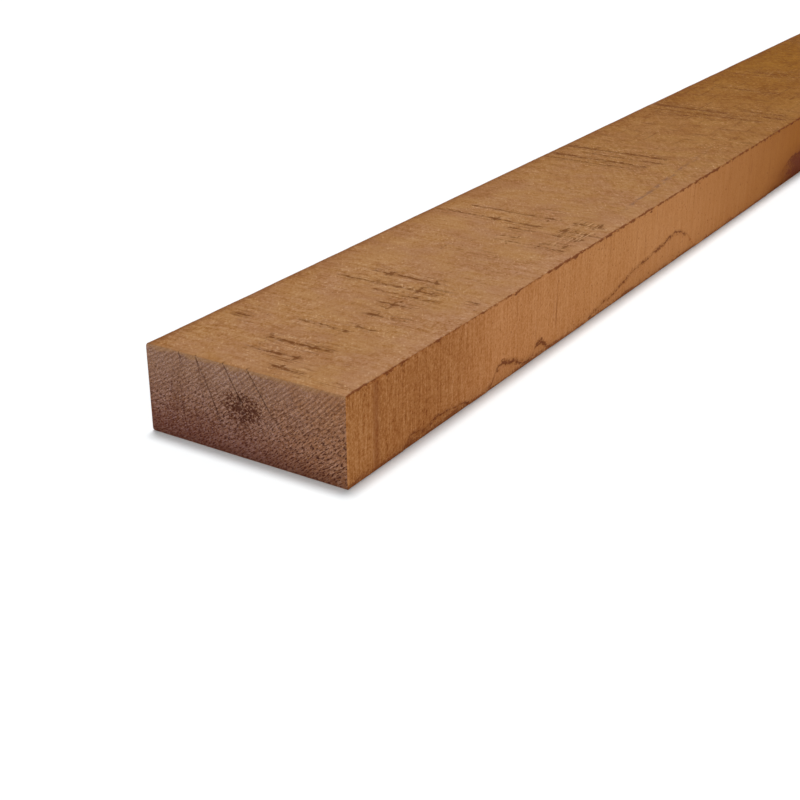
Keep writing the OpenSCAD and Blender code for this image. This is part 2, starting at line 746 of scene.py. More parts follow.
@dataclass(frozen=True)
class LongRelief:
    """Relief of the long faces: uneven sawing, scores, torn places, chips and wear."""

    mark_depth: float = 0.35
    broken: Unevenness = Unevenness(31, (11.0, 5.0))
    broken_shift: float = 440.0
    wave_depth: float = 0.12
    wavy: Unevenness = Unevenness(32, (34.0, 45.0))
    fuzz_depth: float = 0.08
    fuzzy: Unevenness = Unevenness(33, (4.0, 6.0), layers=2)
    fuzz_climb: float = 2.0
    wear_depth: float = 0.5
    wear_reach: float = 4.0
    torn_floor: Unevenness = Unevenness(34, (6.0, 3.0))
    floor_depths: Span = (0.8, 0.4)
    # A line of painted shadow just under the torn edge, and painted shade over the recessed floor below
    shadow_drop: float = 0.6
    lip_reach: float = 3.0
    recess_shade: float = 0.16
    pocket_tint: float = 0.8
    on_side: float = 0.9
    chip_line: Unevenness = Unevenness(41, (13.0, 1.0))
    chip_runs: Unevenness = Unevenness(42, (60.0, 1.0), layers=1)
    chip_rows: Span = (3.0, 7.0)
    run_share: float = 0.35
    more_chips: float = 0.25
    more_from: Span = (480.0, 540.0)
    more_until: Span = (680.0, 760.0)
    least_chip: float = 0.12
    chip_reach: Span = (0.4, 2.2)
    chip_depth: float = 1.3
    chip_tint: Span = (1.5, 0.8)
    on_arris: Span = (0.3, -0.1)

    def at(self, plank: "Plank", ring: Round, along: Array) -> tuple[Array, Array]:
        """Adds up the relief: the depths of sawing, scores, torn places, chips and the worn upper left arris.

        Args:
            plank: The plank.
            ring: Points round the section.
            along: Distances along the plank.

        Returns:
            Depths, and the vertex values: the scores, the scoring round them, how torn the wood is and
                painted shadow.
        """
        on_face = np.clip(np.abs(ring.out_z), 0.0, 1.0) ** 2
        from_left = ring.x + plank.section.right
        spreads = (1.0, plank.marks.torn_spread)
        marks, scored = (
            plank.marks.strength(plank.length, along, from_left, spread) * on_face for spread in spreads
        )
        wavy = self.wavy.share(along, ring.x + ring.z)
        fuzzy = self.fuzzy.share(along, ring.x + self.fuzz_climb * ring.z)
        sawn = self.mark_depth * marks * self.broken.share(ring.x + self.broken_shift, along)
        worn = np.exp(-np.hypot(from_left, ring.z - plank.section.thickness) / self.wear_reach)
        torn_depth, torn = self._torn(plank.torn_edge, ring, along)
        chip_depth, chipped = self._chipped(plank.section, ring, along)
        depth = sawn + self.wave_depth * wavy + self.fuzz_depth * fuzzy + self.wear_depth * wavy * worn
        values = np.stack([marks, scored, np.maximum(torn, chipped)], axis=-1)
        return depth + torn_depth + chip_depth, values

    def _torn(self, edge: TornEdge, ring: Round, along: Array) -> tuple[Array, Array]:
        """Torn places along the lower right arris: an uneven floor below the torn edge, with a dark lip.

        Args:
            edge: The torn edge.
            ring: Points round the section.
            along: Distances along the plank.

        Returns:
            Depths, and how torn the wood looks, with painted shadow under the torn edge and painted shade
            below.
        """
        above = ring.z - edge.edge(along)
        inside = 1.0 - eased(0.0, edge.lip, above)
        floor = self.floor_depths[0] + self.floor_depths[1] * self.torn_floor.at(along, ring.z)
        depth = edge.depth(along)
        strength = edge.strength(along)
        # Painted shadow in a line just under the torn edge, and painted shade over the recessed floor
        line = fading(np.abs(above + self.shadow_drop), self.lip_reach)
        line = np.maximum(line, self.recess_shade * inside) * strength
        pocket = self.pocket_tint * inside * eased(0.0, 1.0, depth) * edge.in_pocket(along)
        pocket = pocket * eased(*edge.bark_opens, along)
        on_right = np.clip(ring.out_x, 0.0, 1.0) ** 2
        return depth * inside * floor * on_right, np.maximum(line, pocket) * (ring.out_x > self.on_side)

    def _chipped(self, section: Section, ring: Round, along: Array) -> tuple[Array, Array]:
        """Chips along the upper right arris: the tops of an uneven line, more of them on one stretch.

        Args:
            section: Cross-section of the plank.
            ring: Points round the section.
            along: Distances along the plank.

        Returns:
            Depths, and how torn the wood looks.
        """
        line = self.chip_line.at(along, self.chip_rows[0])
        runs = self.chip_runs.at(along, self.chip_rows[1])
        more = self.more_chips * eased(*self.more_from, along) * (1.0 - eased(*self.more_until, along))
        chips = np.clip(line + self.run_share * runs + more - self.least_chip, 0.0, 1.0)
        from_arris = np.where(ring.out_x > SQUARE, section.thickness - ring.z, section.right - ring.x)
        near_arris = (ring.out_x > self.on_arris[0]) & (ring.out_z > self.on_arris[1]) | (ring.out_z > SQUARE)
        share = fading(from_arris, self.chip_reach[0] + self.chip_reach[1] * chips) * near_arris
        tint = np.clip(self.chip_tint[0] * chips, 0.0, self.chip_tint[1])
        return self.chip_depth * chips * share, share * tint


@dataclass(frozen=True)
class EndRelief:
    """Relief of the checked end: ring ridges, rough sawing and a patch of torn grain."""

    ridge_pitch: float = 2.8
    ridge_depth: float = 0.06
    rough: Unevenness = Unevenness(51, (3.0, 3.0))
    rough_depth: float = 0.06
    patch: Span = (-1.0, 33.0)
    patch_reach: Span = (17.0, 12.5)
    patch_edge: Span = (0.35, 1.25)
    patch_depth: float = 1.0
    patch_tint: float = 0.8
    crumbs: Unevenness = Unevenness(52, (2.6, 2.2), layers=2)
    crumble: float = 0.25
    pits: Span = (-0.1, 0.5)
    check_tint: float = 1.4

    def at(self, x: Array, z: Array, radius: Array) -> tuple[Array, Array]:
        """Adds up the relief: a sine of the distance from the pith, roughness and an oval crumbled patch.

        Args:
            x: Places across.
            z: Heights.
            radius: Distances from the pith.

        Returns:
            Depths, and how torn the wood looks.
        """
        ridges = HALF + HALF * np.sin(2.0 * math.pi * radius / self.ridge_pitch)
        crumbs = self.crumbs.at(x, z)
        off_x = (x - self.patch[0]) / self.patch_reach[0]
        off_z = (z - self.patch[1]) / self.patch_reach[1]
        patch = 1.0 - eased(*self.patch_edge, np.hypot(off_x, off_z) + self.crumble * crumbs)
        depth = self.ridge_depth * ridges + self.rough_depth * self.rough.share(x, z)
        return depth + self.patch_depth * patch * eased(*self.pits, crumbs), self.patch_tint * patch


@dataclass
class Plank:
    """The sawn plank: its sizes in millimetres, and the methods that shape and dress it."""

    length: float
    section: Section
    pith_left: float = 120.0
    pith_rise: float = 190.0
    checks: tuple[DryingCheck, ...] = (
        DryingCheck(27, 9, 0.4), DryingCheck(40, 46, 0.5), DryingCheck(61, 28, 0.7), DryingCheck(79, 33, 0.8),
    )
    marks: SawMarks = SawMarks()
    torn_edge: TornEdge = TornEdge()
    relief: LongRelief = LongRelief()
    end_relief: EndRelief = EndRelief()
    # Two places, each from the left side and below the top face, and strength
    hair_cracks: tuple[HairCrack, ...] = tuple(HairCrack(*row) for row in (
        ((27, 1), (28, 8), 0.7), ((40.2, 2), (42.5, 12), 0.8), ((46, 12), (51, 25), 0.5),
        ((52, 28), (58.5, 46), 0.8), ((25.6, 19), (27, 34), 0.6), ((27, 34), (29, 50), 0.8),
        ((7, 39.5), (30, 39), 0.5), ((30, 39), (44, 42), 0.7), ((38.5, 41), (41.5, 50), 0.6),
        ((64, 44.5), (77, 38.5), 0.7), ((18.5, 21), (20, 28), 0.5),
    ))
    near_length: float = 140.0
    near_fineness: Fineness = Fineness(1.7, 42, 31, 10)
    near_joint: float = 1.5
    seen_length: float = 1260.0
    seen_fineness: Fineness = Fineness(2.7, 9, 16, 6, 44, 12)
    seen_joint: float = 3.0
    far_fineness: Fineness = Fineness(9.0, 9, 6, 2, 14, 14)
    left_columns: int = 12
    right_columns: int = 30
    left_margins: Span = (3.0, 2.0)
    right_margins: Span = (4.0, 6.0)
    check_pitch: float = 1.05
    check_clearance: float = 0.75
    crowding: float = 0.6
    row_power: float = 1.3
    least_step: float = 0.3
    end_bevel: float = 0.4

    def lean(self, place: Array | float) -> Array | float:
        """Tangent of the lean from upright of the ray that meets the top at a place from the left side."""
        return (place - self.section.right + self.pith_left) / self.pith_rise

    def build(self, name: str) -> bpy.types.Object:
        """Shapes the whole plank.

        Args:
            name: Name of the piece.

        Returns:
            The piece, linked to the scene.
        """
        skin = Skin()
        near, seen, far = (self._tube(skin, stretch) for stretch in self._stretches())
        for tube, beyond in ((near, seen), (seen, far)):
            ring = tube.ring
            skin.add_zip(tube.numbers[-1], ring.turn, beyond.numbers[0], beyond.ring.turn, ring.slots)
        self._checked_end(skin, near)
        self._plain_end(skin, far)
        mesh = skin.mesh(name)
        mesh.shade_smooth()
        mesh.set_sharp_from_angle(angle=SHARP_ANGLE)
        FlatLayout().lay_out(mesh, self.length, self.section)
        return linked(name, mesh)

    def _stretches(self) -> tuple[Stretch, Stretch, Stretch]:
        """Divides the plank along its length.

        The columns of the first stretch follow the checks: straight up the top, and along their rays below.

        Returns:
            The fine stretch at the checked end, the one that follows it and the plain rest.
        """
        section = self.section
        left = -section.right + section.upper_left
        right = section.right - section.upper_right
        low_left = -section.right + section.lower_left
        low_right = section.right - section.lower_right
        tops = self._check_columns(left, right)
        places = np.array([check.place for check in self.checks])
        over = np.concatenate([[left], places - section.right, [right]])
        slid = places - section.right + section.thickness * self.lean(places)
        under = np.concatenate([[low_left], slid, [low_right]])
        bottoms = np.interp(tops, over, under)[::-1]
        lefts = self._left_rows(self.near_fineness)
        stretches = [Stretch(0.0, self.near_length, self.near_fineness, tops, bottoms, lefts)]
        seen_start = self.near_length + self.near_joint
        far_start = self.seen_length + self.seen_joint
        for start, end, fineness in (
            (seen_start, self.seen_length, self.seen_fineness),
            (far_start, self.length, self.far_fineness),
        ):
            tops = self._crowded(left, right, fineness.top_steps)
            bottoms = self._crowded(low_right, low_left, fineness.bottom_steps)
            stretches.append(Stretch(start, end, fineness, tops, bottoms, self._left_rows(fineness)))
        return tuple(stretches)

    def _check_columns(self, left: float, right: float) -> Array:
        """Places across the top at the checked end: fine round the checks, three to each, coarse elsewhere.

        Args:
            left: Place of the first column.
            right: Place of the last column.

        Returns:
            The places, from left to right.
        """
        places = np.array([check.place for check in self.checks]) - self.section.right
        lips = np.array([check.gape for check in self.checks]) / 2.0
        coarse_left = np.linspace(left, places[0] - self.left_margins[0], self.left_columns)
        fine_start = places[0] - self.left_margins[1]
        fine = np.arange(fine_start, places[-1] + self.right_margins[0], self.check_pitch)
        coarse_right = np.linspace(places[-1] + self.right_margins[1], right, self.right_columns)
        even = np.concatenate([coarse_left, fine, coarse_right])
        clear = np.abs(even[:, None] - places[None, :]).min(axis=1) > self.check_clearance
        return np.sort(np.concatenate([even[clear], places, places - lips, places + lips]))

    def _crowded(self, start: float, end: float, steps: int) -> Array:
        """Places from one arris to the other, closer near both: half a cosine wave mixed with even steps.

        Args:
            start: Place of the first arris.
            end: Place of the other arris.
            steps: Number of steps between them.

        Returns:
            The places, one more than the steps.
        """
        share = np.linspace(0.0, 1.0, steps + 1)
        wave = HALF - HALF * np.cos(math.pi * share)
        return start + (end - start) * (self.crowding * wave + (1.0 - self.crowding) * share)

    def _left_rows(self, fineness: Fineness) -> Array:
        """Heights on the left side, from the underside up."""
        top = self.section.thickness - self.section.upper_left
        return self._crowded(self.section.lower_left, top, fineness.left_rows - 1)

    def _right_rows(self, stretch: Stretch, along: Array) -> Array:
        """Heights on the right side, so that two rows follow the torn edge and its lip.

        Args:
            stretch: The stretch.
            along: Distances of its stations along the plank.

        Returns:
            Heights from the top down, with one row for each station.
        """
        top = self.section.thickness - self.section.upper_right
        bottom = self.section.lower_right
        edge = self.torn_edge.edge(along)[:, None]
        over = np.linspace(0.0, 1.0, stretch.fineness.upper_rows) ** self.row_power
        under = np.linspace(0.0, 1.0, stretch.fineness.lower_rows + 1)
        upper = top + (edge + self.torn_edge.lip - top) * over
        return np.concatenate([upper, edge + (bottom - edge) * under], axis=1)

    def _stations(self, stretch: Stretch) -> Array:
        """Places along a stretch: three at each saw mark, with even steps between them.

        Args:
            stretch: The stretch.

        Returns:
            Distances along the plank.
        """
        marks = self.marks.all(self.length)
        places = np.array([mark.place for mark in marks])
        half = np.array([mark.half_width for mark in marks])
        bevel = [stretch.start + self.end_bevel, stretch.end - self.end_bevel]
        knots = np.concatenate([bevel, places - half, places, places + half])
        inside = (knots > stretch.start + self.least_step) & (knots < stretch.end - self.least_step)
        knots = np.concatenate([[stretch.start], np.unique(knots[inside]), [stretch.end]])
        gaps = np.diff(knots)
        counts = np.ceil(gaps / stretch.fineness.step).astype(int)
        order = np.arange(counts.sum()) - np.repeat(np.cumsum(counts) - counts, counts)
        even = np.repeat(knots[:-1], counts) + order * np.repeat(gaps / counts, counts)
        return np.append(even, stretch.end)

    def _tube(self, skin: Skin, stretch: Stretch) -> Tube:
        """Shapes the four long faces of one stretch.

        Each point of the worn section moves inwards by the depth of the relief there and of an end's bevel.

        Args:
            skin: Where the faces are gathered.
            stretch: The stretch.

        Returns:
            The faces.
        """
        stations = self._stations(stretch)
        rights = self._right_rows(stretch, stations)
        ring = self.section.round(stretch.tops, rights, stretch.bottoms, stretch.lefts)
        along = np.repeat(stations[:, None], ring.count, axis=1)
        if stretch.start == 0.0:
            along = along + self._check_push(ring) * (1.0 - along / stretch.end)
        depth, values = self.relief.at(self, ring, along)
        to_end = np.minimum(along, self.length - along)
        depth = depth + self.end_bevel * fading(to_end, self.end_bevel)
        x = ring.x - depth * ring.out_x
        z = ring.z - depth * ring.out_z
        points = np.stack([x, along - self.length / 2.0, z], axis=-1)
        numbers = skin.add_points(points, values)
        skin.add_tube(numbers, ring.slots)
        return Tube(stretch, ring, numbers, points)

    def _check_push(self, ring: Round) -> Array:
        """Args:
            ring: Points round the section.

        Returns:
            The distances.
        """
        push = np.zeros(ring.count)
        on_top = ring.out_z > SQUARE
        for check in self.checks:
            middle = np.isclose(ring.x[0], check.place - self.section.right) & on_top
            push = np.where(middle, check.run * check.lip_share, push)
        return push

    def _grid(self, ring: Round, places: Array) -> Array:
        """Places of an end's grid, blended from its four edges.

        A point is the blend of its row's ends, plus that of its column's ends, less that of the corners.

        Args:
            ring: Points round the section.
            places: Places of the points round the end's edge.

        Returns:
            Places, with the rows from the top down and the columns from left to right.
        """
        top, right, bottom, left = ring.edges(places)
        over = np.linspace(0.0, 1.0, ring.columns + 1)[None, :, None]
        down_left, down_right = (
            ((side[0, 2] - side[:, 2]) / (side[0, 2] - side[-1, 2]))[:, None, None] for side in (left, right)
        )
        down = down_left * (1.0 - over) + down_right * over
        ruled_down = top[None] * (1.0 - down) + bottom[None] * down
        ruled_over = left[:, None] * (1.0 - over) + right[:, None] * over
        corners_top = top[0] * (1.0 - over) + top[-1] * over
        corners_bottom = bottom[0] * (1.0 - over) + bottom[-1] * over
        return ruled_down + ruled_over - corners_top * (1.0 - down) - corners_bottom * down

    def _cap(self, skin: Skin, edge: Array, ring: Round, points: Array, torn: Array) -> Array:
        """Adds an end's points, and numbers its grid with the edge's own vertices round them.

        Args:
            skin: Where the points are gathered.
            edge: Vertex numbers round the edge.
            ring: Points round the section.
            points: Places of the end's grid.
            torn: How torn the wood is at each of them.

        Returns:
            Vertex numbers of the cells' corners: upper left, lower left, lower right and upper right.
        """
        numbers = np.empty((ring.rows + 1, ring.columns + 1), int)
        inner = torn[1:-1, 1:-1]
        unmarked = np.zeros_like(inner)
        values = np.stack([unmarked, unmarked, inner], axis=-1)
        numbers[1:-1, 1:-1] = skin.add_points(points[1:-1, 1:-1], values)
        numbers[0], numbers[:, -1], numbers[-1], numbers[:, 0] = ring.edges(edge)
        return np.stack([numbers[:-1, :-1], numbers[1:, :-1], numbers[1:, 1:], numbers[:-1, 1:]])

    def _checked_end(self, skin: Skin, tube: Tube) -> None:
        """Shapes the checked end: its relief, and the checks, whose middle columns are pushed in.

        Args:
            skin: Where the faces are gathered.
            tube: The long faces that the end closes.
        """
        flat = tube.points[0].copy()
        flat[:, 1] = -self.length / 2.0
        points = self._grid(tube.ring, flat)
        x, z = points[..., 0], points[..., 2]
        radius = np.hypot(x + self.pith_left, z - self.section.thickness - self.pith_rise)
        depth, torn = self.end_relief.at(x, z, radius)
        for check in self.checks:
            off = np.abs(tube.stretch.tops - (check.place - self.section.right))
            column = ARRIS_LEAD + int(np.argmin(off))
            down = (self.section.thickness - z[:, column]) * math.hypot(1.0, self.lean(check.place))
            depth[:, column] += check.depth(down)
            tint = self.end_relief.check_tint * check.openness(down)
            torn[:, column] = np.maximum(torn[:, column], tint)
        points[..., 1] += depth
        first, below, across, beside = self._cap(skin, tube.numbers[0], tube.ring, points, torn)
        skin.add_quads(first, below, across, beside, np.array(Face.END_GRAIN))

    def _plain_end(self, skin: Skin, tube: Tube) -> None:
        """Shapes the plain end: a flat crosscut.

        Args:
            skin: Where the faces are gathered.
            tube: The long faces that the end closes.
        """
        points = self._grid(tube.ring, tube.points[-1])
        untorn = np.zeros(points.shape[:2])
        first, below, across, beside = self._cap(skin, tube.numbers[-1], tube.ring, points, untorn)
        skin.add_quads(first, beside, across, below, np.array(Face.END_GRAIN))

    def dress(self, piece: bpy.types.Object) -> None:
        """Gives the piece its three finishes and ties it to the frame.

        Args:
            piece: The plank's piece.
        """
        finishes = {
            Face.SAWN_FACE: SawnFaceFinish,
            Face.SAWN_SIDE: SawnSideFinish,
            Face.END_GRAIN: EndGrainFinish,
        }
        for face in Face:
            piece.data.materials.append(finishes[face](self).material())
        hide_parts(NODE)
        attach(piece, BODY)


# What a node's input takes: a link, a number, a colour or a vector
Value = "Signal | float | Colour | tuple[float, float, float]"


class Signal:
    """A node's output socket, which adds Math nodes to its tree when it is used in an expression."""

    def __init__(self, bench: "Bench", socket: bpy.types.NodeSocket) -> None:
        """Wraps a socket of a bench's tree."""
        self.bench = bench
        self.socket = socket

    def __add__(self, other: Value) -> "Signal":
        """Sum."""
        return self.bench.maths("ADD", self, other)

    def __radd__(self, other: Value) -> "Signal":
        """Sum with a number first."""
        return self.bench.maths("ADD", other, self)

    def __sub__(self, other: Value) -> "Signal":
        """Difference."""
        return self.bench.maths("SUBTRACT", self, other)

    def __rsub__(self, other: Value) -> "Signal":
        """Difference with a number first."""
        return self.bench.maths("SUBTRACT", other, self)

    def __mul__(self, other: Value) -> "Signal":
        """Product."""
        return self.bench.maths("MULTIPLY", self, other)

    def __rmul__(self, other: Value) -> "Signal":
        """Product with a number first."""
        return self.bench.maths("MULTIPLY", other, self)

    def __truediv__(self, other: Value) -> "Signal":
        """Quotient."""
        return self.bench.maths("DIVIDE", self, other)

    def __rtruediv__(self, other: Value) -> "Signal":
        """Quotient of a number by this."""
        return self.bench.maths("DIVIDE", other, self)

    def __pow__(self, other: Value) -> "Signal":
        """Power."""
        return self.bench.maths("POWER", self, other)

    def __abs__(self) -> "Signal":
        """Size without its sign."""
        return self.bench.maths("ABSOLUTE", self)

    def larger(self, other: Value) -> "Signal":
        """The larger of the two."""
        return self.bench.maths("MAXIMUM", self, other)

    def clamped(self) -> "Signal":
        """This, held between 0 and 1."""
        return self.bench.node("ShaderNodeClamp", {}, {0: self})

    def wave(self) -> "Signal":
        """A wave from 0 to 1 that repeats each time this grows by 1."""
        return self.bench.maths("SINE", self * (2.0 * math.pi)) * HALF + HALF

    def swing(self, size: Value) -> "Signal":
        """How far this lies from a half, times a size."""
        return (self - HALF) * size

    def step(self, low: float, high: float, most: float = 1.0) -> "Signal":
        """Eased rise from 0 at low to the most at high. With high below low it falls."""
        sockets = {"Value": self, "From Min": low, "From Max": high, "To Max": most}
        return self.bench.node("ShaderNodeMapRange", {"interpolation_type": "SMOOTHSTEP"}, sockets)


def largest(*signals: Signal) -> Signal:
    """The largest of some signals."""
    return reduce(Signal.larger, signals)


def weighed(signals: Sequence[Signal], weights: Sequence[Value]) -> Signal:
    """Sum of some signals, each times its weight."""
    return reduce(Signal.__add__, [signal * weight for signal, weight in zip(signals, weights)])


def swings(signals: Sequence[Signal], sizes: Sequence[Value]) -> Signal:
    """Sum of how far some signals lie from a half, each times its size."""
    return reduce(Signal.__add__, [signal.swing(size) for signal, size in zip(signals, sizes)])


class Bench:
    """The node tree of a material or a world, with methods that add nodes to it."""

    def __init__(self, owner: bpy.types.Material | bpy.types.World) -> None:
        """Clears the tree.

        Args:
            owner: The material or the world that the tree belongs to.
        """
        owner.use_nodes = True
        self.owner = owner
        self.tree = owner.node_tree
        self.tree.nodes.clear()

    def node(
        self,
        kind: str,
        settings: Mapping[str, object],
        sockets: Mapping[str | int, Value],
        output: str | int = 0,
    ) -> Signal:
        """Adds a node.

        Args:
            kind: Type of the node.
            settings: Its settings, which are set first. stops holds a ramp's places and colours, in order.
            sockets: Values or links of its input sockets, by name or number.
            output: The output that is wanted.

        Returns:
            That output.
        """
        node = self.tree.nodes.new(kind)
        for key, value in settings.items():
            if key == "stops":
                self._set_stops(node.color_ramp, value)
            else:
                setattr(node, key, value)
        for key, value in sockets.items():
            if isinstance(value, Signal):
                self.tree.links.new(value.socket, node.inputs[key])
            else:
                node.inputs[key].default_value = value
        return Signal(self, node.outputs[output])

    def _set_stops(self, ramp: bpy.types.ColorRamp, stops: Sequence[tuple[float, Colour]]) -> None:
        """Gives a ramp its stops.

        Args:
            ramp: The ramp, as it is when new.
            stops: Places and colours, in order.
        """
        for place, _ in stops[len(ramp.elements) :]:
            ramp.elements.new(place)
        for element, (place, colour) in zip(ramp.elements, stops):
            element.position = place
            element.color = colour

    def maths(self, operation: str, *values: Value) -> Signal:
        """Adds a Math node."""
        return self.node("ShaderNodeMath", {"operation": operation}, dict(enumerate(values)))

    def mix(self, share: Value, first: Value, second: Value) -> Signal:
        """Blends two colours."""
        sockets = {MIX_SHARE: share, MIX_FIRST: first, MIX_SECOND: second}
        return self.node("ShaderNodeMix", {"data_type": "RGBA"}, sockets, MIX_RESULT)

    def show(self, shader: Signal, kind: str) -> None:
        """Links a shader to an output node, whose only link it is."""
        output = self.tree.nodes.new(kind)
        self.tree.links.new(shader.socket, output.inputs["Surface"])


@dataclass(frozen=True)
class Lumps:
    """Smooth noise: sizes of its lumps across, along and up, finer layers, their strength, and a shift."""

    x: float
    y: float
    z: float = 1.0
    detail: float = 2.0
    roughness: float = 0.6
    shift: float = 0.0


# A noise, and the rise that cuts flecks out of it
Flecks = tuple[Lumps, Rise]


@dataclass(frozen=True)
class Surface:
    """How dry wood takes light: its least roughness, what grit adds and the height of its fine relief."""

    roughness: float
    grit: float
    relief: float


class WoodFinish(Bench):
    """A finish of the plank: a colour that is laid on in layers, by distances, vertex values and noises.

    Each kind of finish names its own values, and lays its layers in its material method.
    """

    name: str
    base: Colour
    grit: Lumps
    surface: Surface

    def __init__(self, plank: Plank) -> None:
        """Starts a material with the base colour.

        Args:
            plank: The plank that it dresses.
        """
        super().__init__(bpy.data.materials.new(self.name))
        self.plank = plank
        self.colour: Value = self.base
        self.noises: dict[Lumps, Signal] = {}

    @cached_property
    def place(self) -> Signal:
        """The place on the piece, in metres."""
        return self.node("ShaderNodeTexCoord", {}, {}, "Object")

    @cached_property
    def x(self) -> Signal:
        """The place across, from the middle."""
        return self._axis("X")

    @cached_property
    def along(self) -> Signal:
        """Distance along the plank."""
        return self._axis("Y") + self.plank.length / 2.0

    @cached_property
    def rise(self) -> Signal:
        """Height above the underside."""
        return self._axis("Z")

    @cached_property
    def from_right(self) -> Signal:
        """Distance from the right side."""
        return self.plank.section.right - self.x

    @cached_property
    def from_left(self) -> Signal:
        """Distance from the left side."""
        return self.plank.section.width - self.from_right

    @cached_property
    def mark(self) -> Signal:
        """Strength of the saw's score."""
        return self._value("saw_mark")

    @cached_property
    def scored(self) -> Signal:
        """Strength of the scoring round it."""
        return self._value("scored")

    @cached_property
    def torn(self) -> Signal:
        """How torn the wood is, with the painted shadow and shade of the torn edge."""
        return self._value("torn")

    def _axis(self, name: str) -> Signal:
        """One coordinate of the place, in millimetres."""
        return self.node("ShaderNodeSeparateXYZ", {}, {0: self.place}, name) * (1.0 / MM)

    def _value(self, name: str) -> Signal:
        """A vertex value of the piece."""
        return self.node("ShaderNodeAttribute", {"attribute_name": name}, {}, "Fac")

    def noise(self, lumps: Lumps) -> Signal:
        """Noise from 0 to 1 over the piece, which is made once and then used again.

        Args:
            lumps: Sizes in millimetres.

        Returns:
            The noise.
        """
        if lumps not in self.noises:
            sizes = tuple(1.0 / (MM * size) for size in (lumps.x, lumps.y, lumps.z))
            sockets = {0: self.place, 1: sizes, 2: (lumps.shift, lumps.shift, lumps.shift)}
            spread = self.node("ShaderNodeVectorMath", {"operation": "MULTIPLY_ADD"}, sockets)
            self.noises[lumps] = self._lumpy(spread, lumps)
        return self.noises[lumps]

    def noise_over(self, first: Signal, second: Signal, lumps: Lumps) -> Signal:
        """Noise from 0 to 1 over two distances, which the first two sizes of its lumps belong to."""
        sockets = {0: first / lumps.x, 1: second / lumps.y, 2: lumps.shift}
        return self._lumpy(self.node("ShaderNodeCombineXYZ", {}, sockets), lumps)

    def _lumpy(self, place: Signal, lumps: Lumps) -> Signal:
        """Noise from 0 to 1 whose lumps are 1 across."""
        sockets = {"Vector": place, "Scale": 1.0, "Detail": lumps.detail, "Roughness": lumps.roughness}
        return self.node("ShaderNodeTexNoise", {}, sockets)

    def flecks(self, kind: Flecks) -> Signal:
        """How far a noise has risen, from 0 to 1 or the most of its rise."""
        lumps, rise = kind
        return self.noise(lumps).step(*rise)

    def stir(self, sizes: Sequence[float], *kinds: Lumps) -> Signal:
        """Sum of how far some noises lie from a half, each times its size."""
        return swings([self.noise(lumps) for lumps in kinds], sizes)

    def lay(self, share: Value, colour: Value) -> None:
        """Lays a colour over the one so far."""
        self.colour = self.mix(share, self.colour, colour)

    def shade(self, factor: Signal) -> None:
        """Makes the colour so far lighter or darker. The darker it is, the fuller it is, as in wood.

        Args:
            factor: A factor of about 1, whose powers the three channels take.
        """
        factor = factor.larger(DARKEST)
        tints = {channel: factor**fullness for channel, fullness in enumerate(FULLNESS)}
        tint = self.node("ShaderNodeCombineXYZ", {}, tints)
        self.colour = self.node("ShaderNodeVectorMath", {"operation": "MULTIPLY"}, {0: self.colour, 1: tint})

    def chips(self, inwards: Signal) -> Signal:
        """How chipped the wood is near an upper arris, from its distance inwards."""
        return ArrisChips().at(self, inwards)

    def finish(self, height: Signal) -> bpy.types.Material:
        """Ends the material with a plain dry surface, rougher where it is gritty.

        Args:
            height: Fine relief from 0 to 1.

        Returns:
            The material.
        """
        sockets = {"Height": height, "Strength": 1.0, "Distance": self.surface.relief * MM}
        bump = self.node("ShaderNodeBump", {}, sockets)
        roughness = self.surface.roughness + self.noise(self.grit) * self.surface.grit
        sockets = {"Base Color": self.colour, "Roughness": roughness, "Normal": bump}
        shader = self.node("ShaderNodeBsdfPrincipled", {}, {**sockets, "Specular IOR Level": DRY_GLOSS})
        self.show(shader, "ShaderNodeOutputMaterial")
        return self.owner


@dataclass(frozen=True)
class ArrisChips:
    """Chips along an upper arris: a thin ragged line that widens into lumps, more of them in runs."""

    runs: Flecks = (Lumps(30, 26, 30, 3.0, 0.6, 1.0), (0.45, 0.62))
    lumps: Lumps = Lumps(2.6, 7.0, 2.6, 3.0, 0.65, 4.0)
    lump_middle: float = 0.44
    lump_width: float = 1.5
    run_width: float = 7.0
    grit: Lumps = Lumps(1.2, 2.4, 1.2, 3.0, 0.7, 3.0)
    grit_width: float = 3.2
    worse_from: Rise = (250.0, 330.0)
    worse_until: Rise = (800.0, 720.0, 0.5)
    width: float = 0.95
    slope: float = 0.8
    edge: Rise = (-0.1, 0.7)
    strength: float = 0.6
    lump_strength: float = 1.6
    run_strength: float = 0.5

    def at(self, finish: WoodFinish, inwards: Signal) -> Signal:
        """How chipped the wood is: the line's uneven width, less the distance from the arris.

        Args:
            finish: The finish that shows the chips.
            inwards: Distance from the arris.

        Returns:
            Values from 0 to 1.
        """
        along = finish.along
        lumps = finish.noise(self.lumps)
        worse = finish.flecks(self.runs) + along.step(*self.worse_from) * along.step(*self.worse_until)
        width = self.width + finish.noise(self.grit).swing(self.grit_width)
        width = width + (lumps - self.lump_middle) * (self.lump_width + worse * self.run_width)
        strength = self.strength + lumps.swing(self.lump_strength) + worse * self.run_strength
        return (width - inwards * self.slope).step(*self.edge) * strength.clamped()


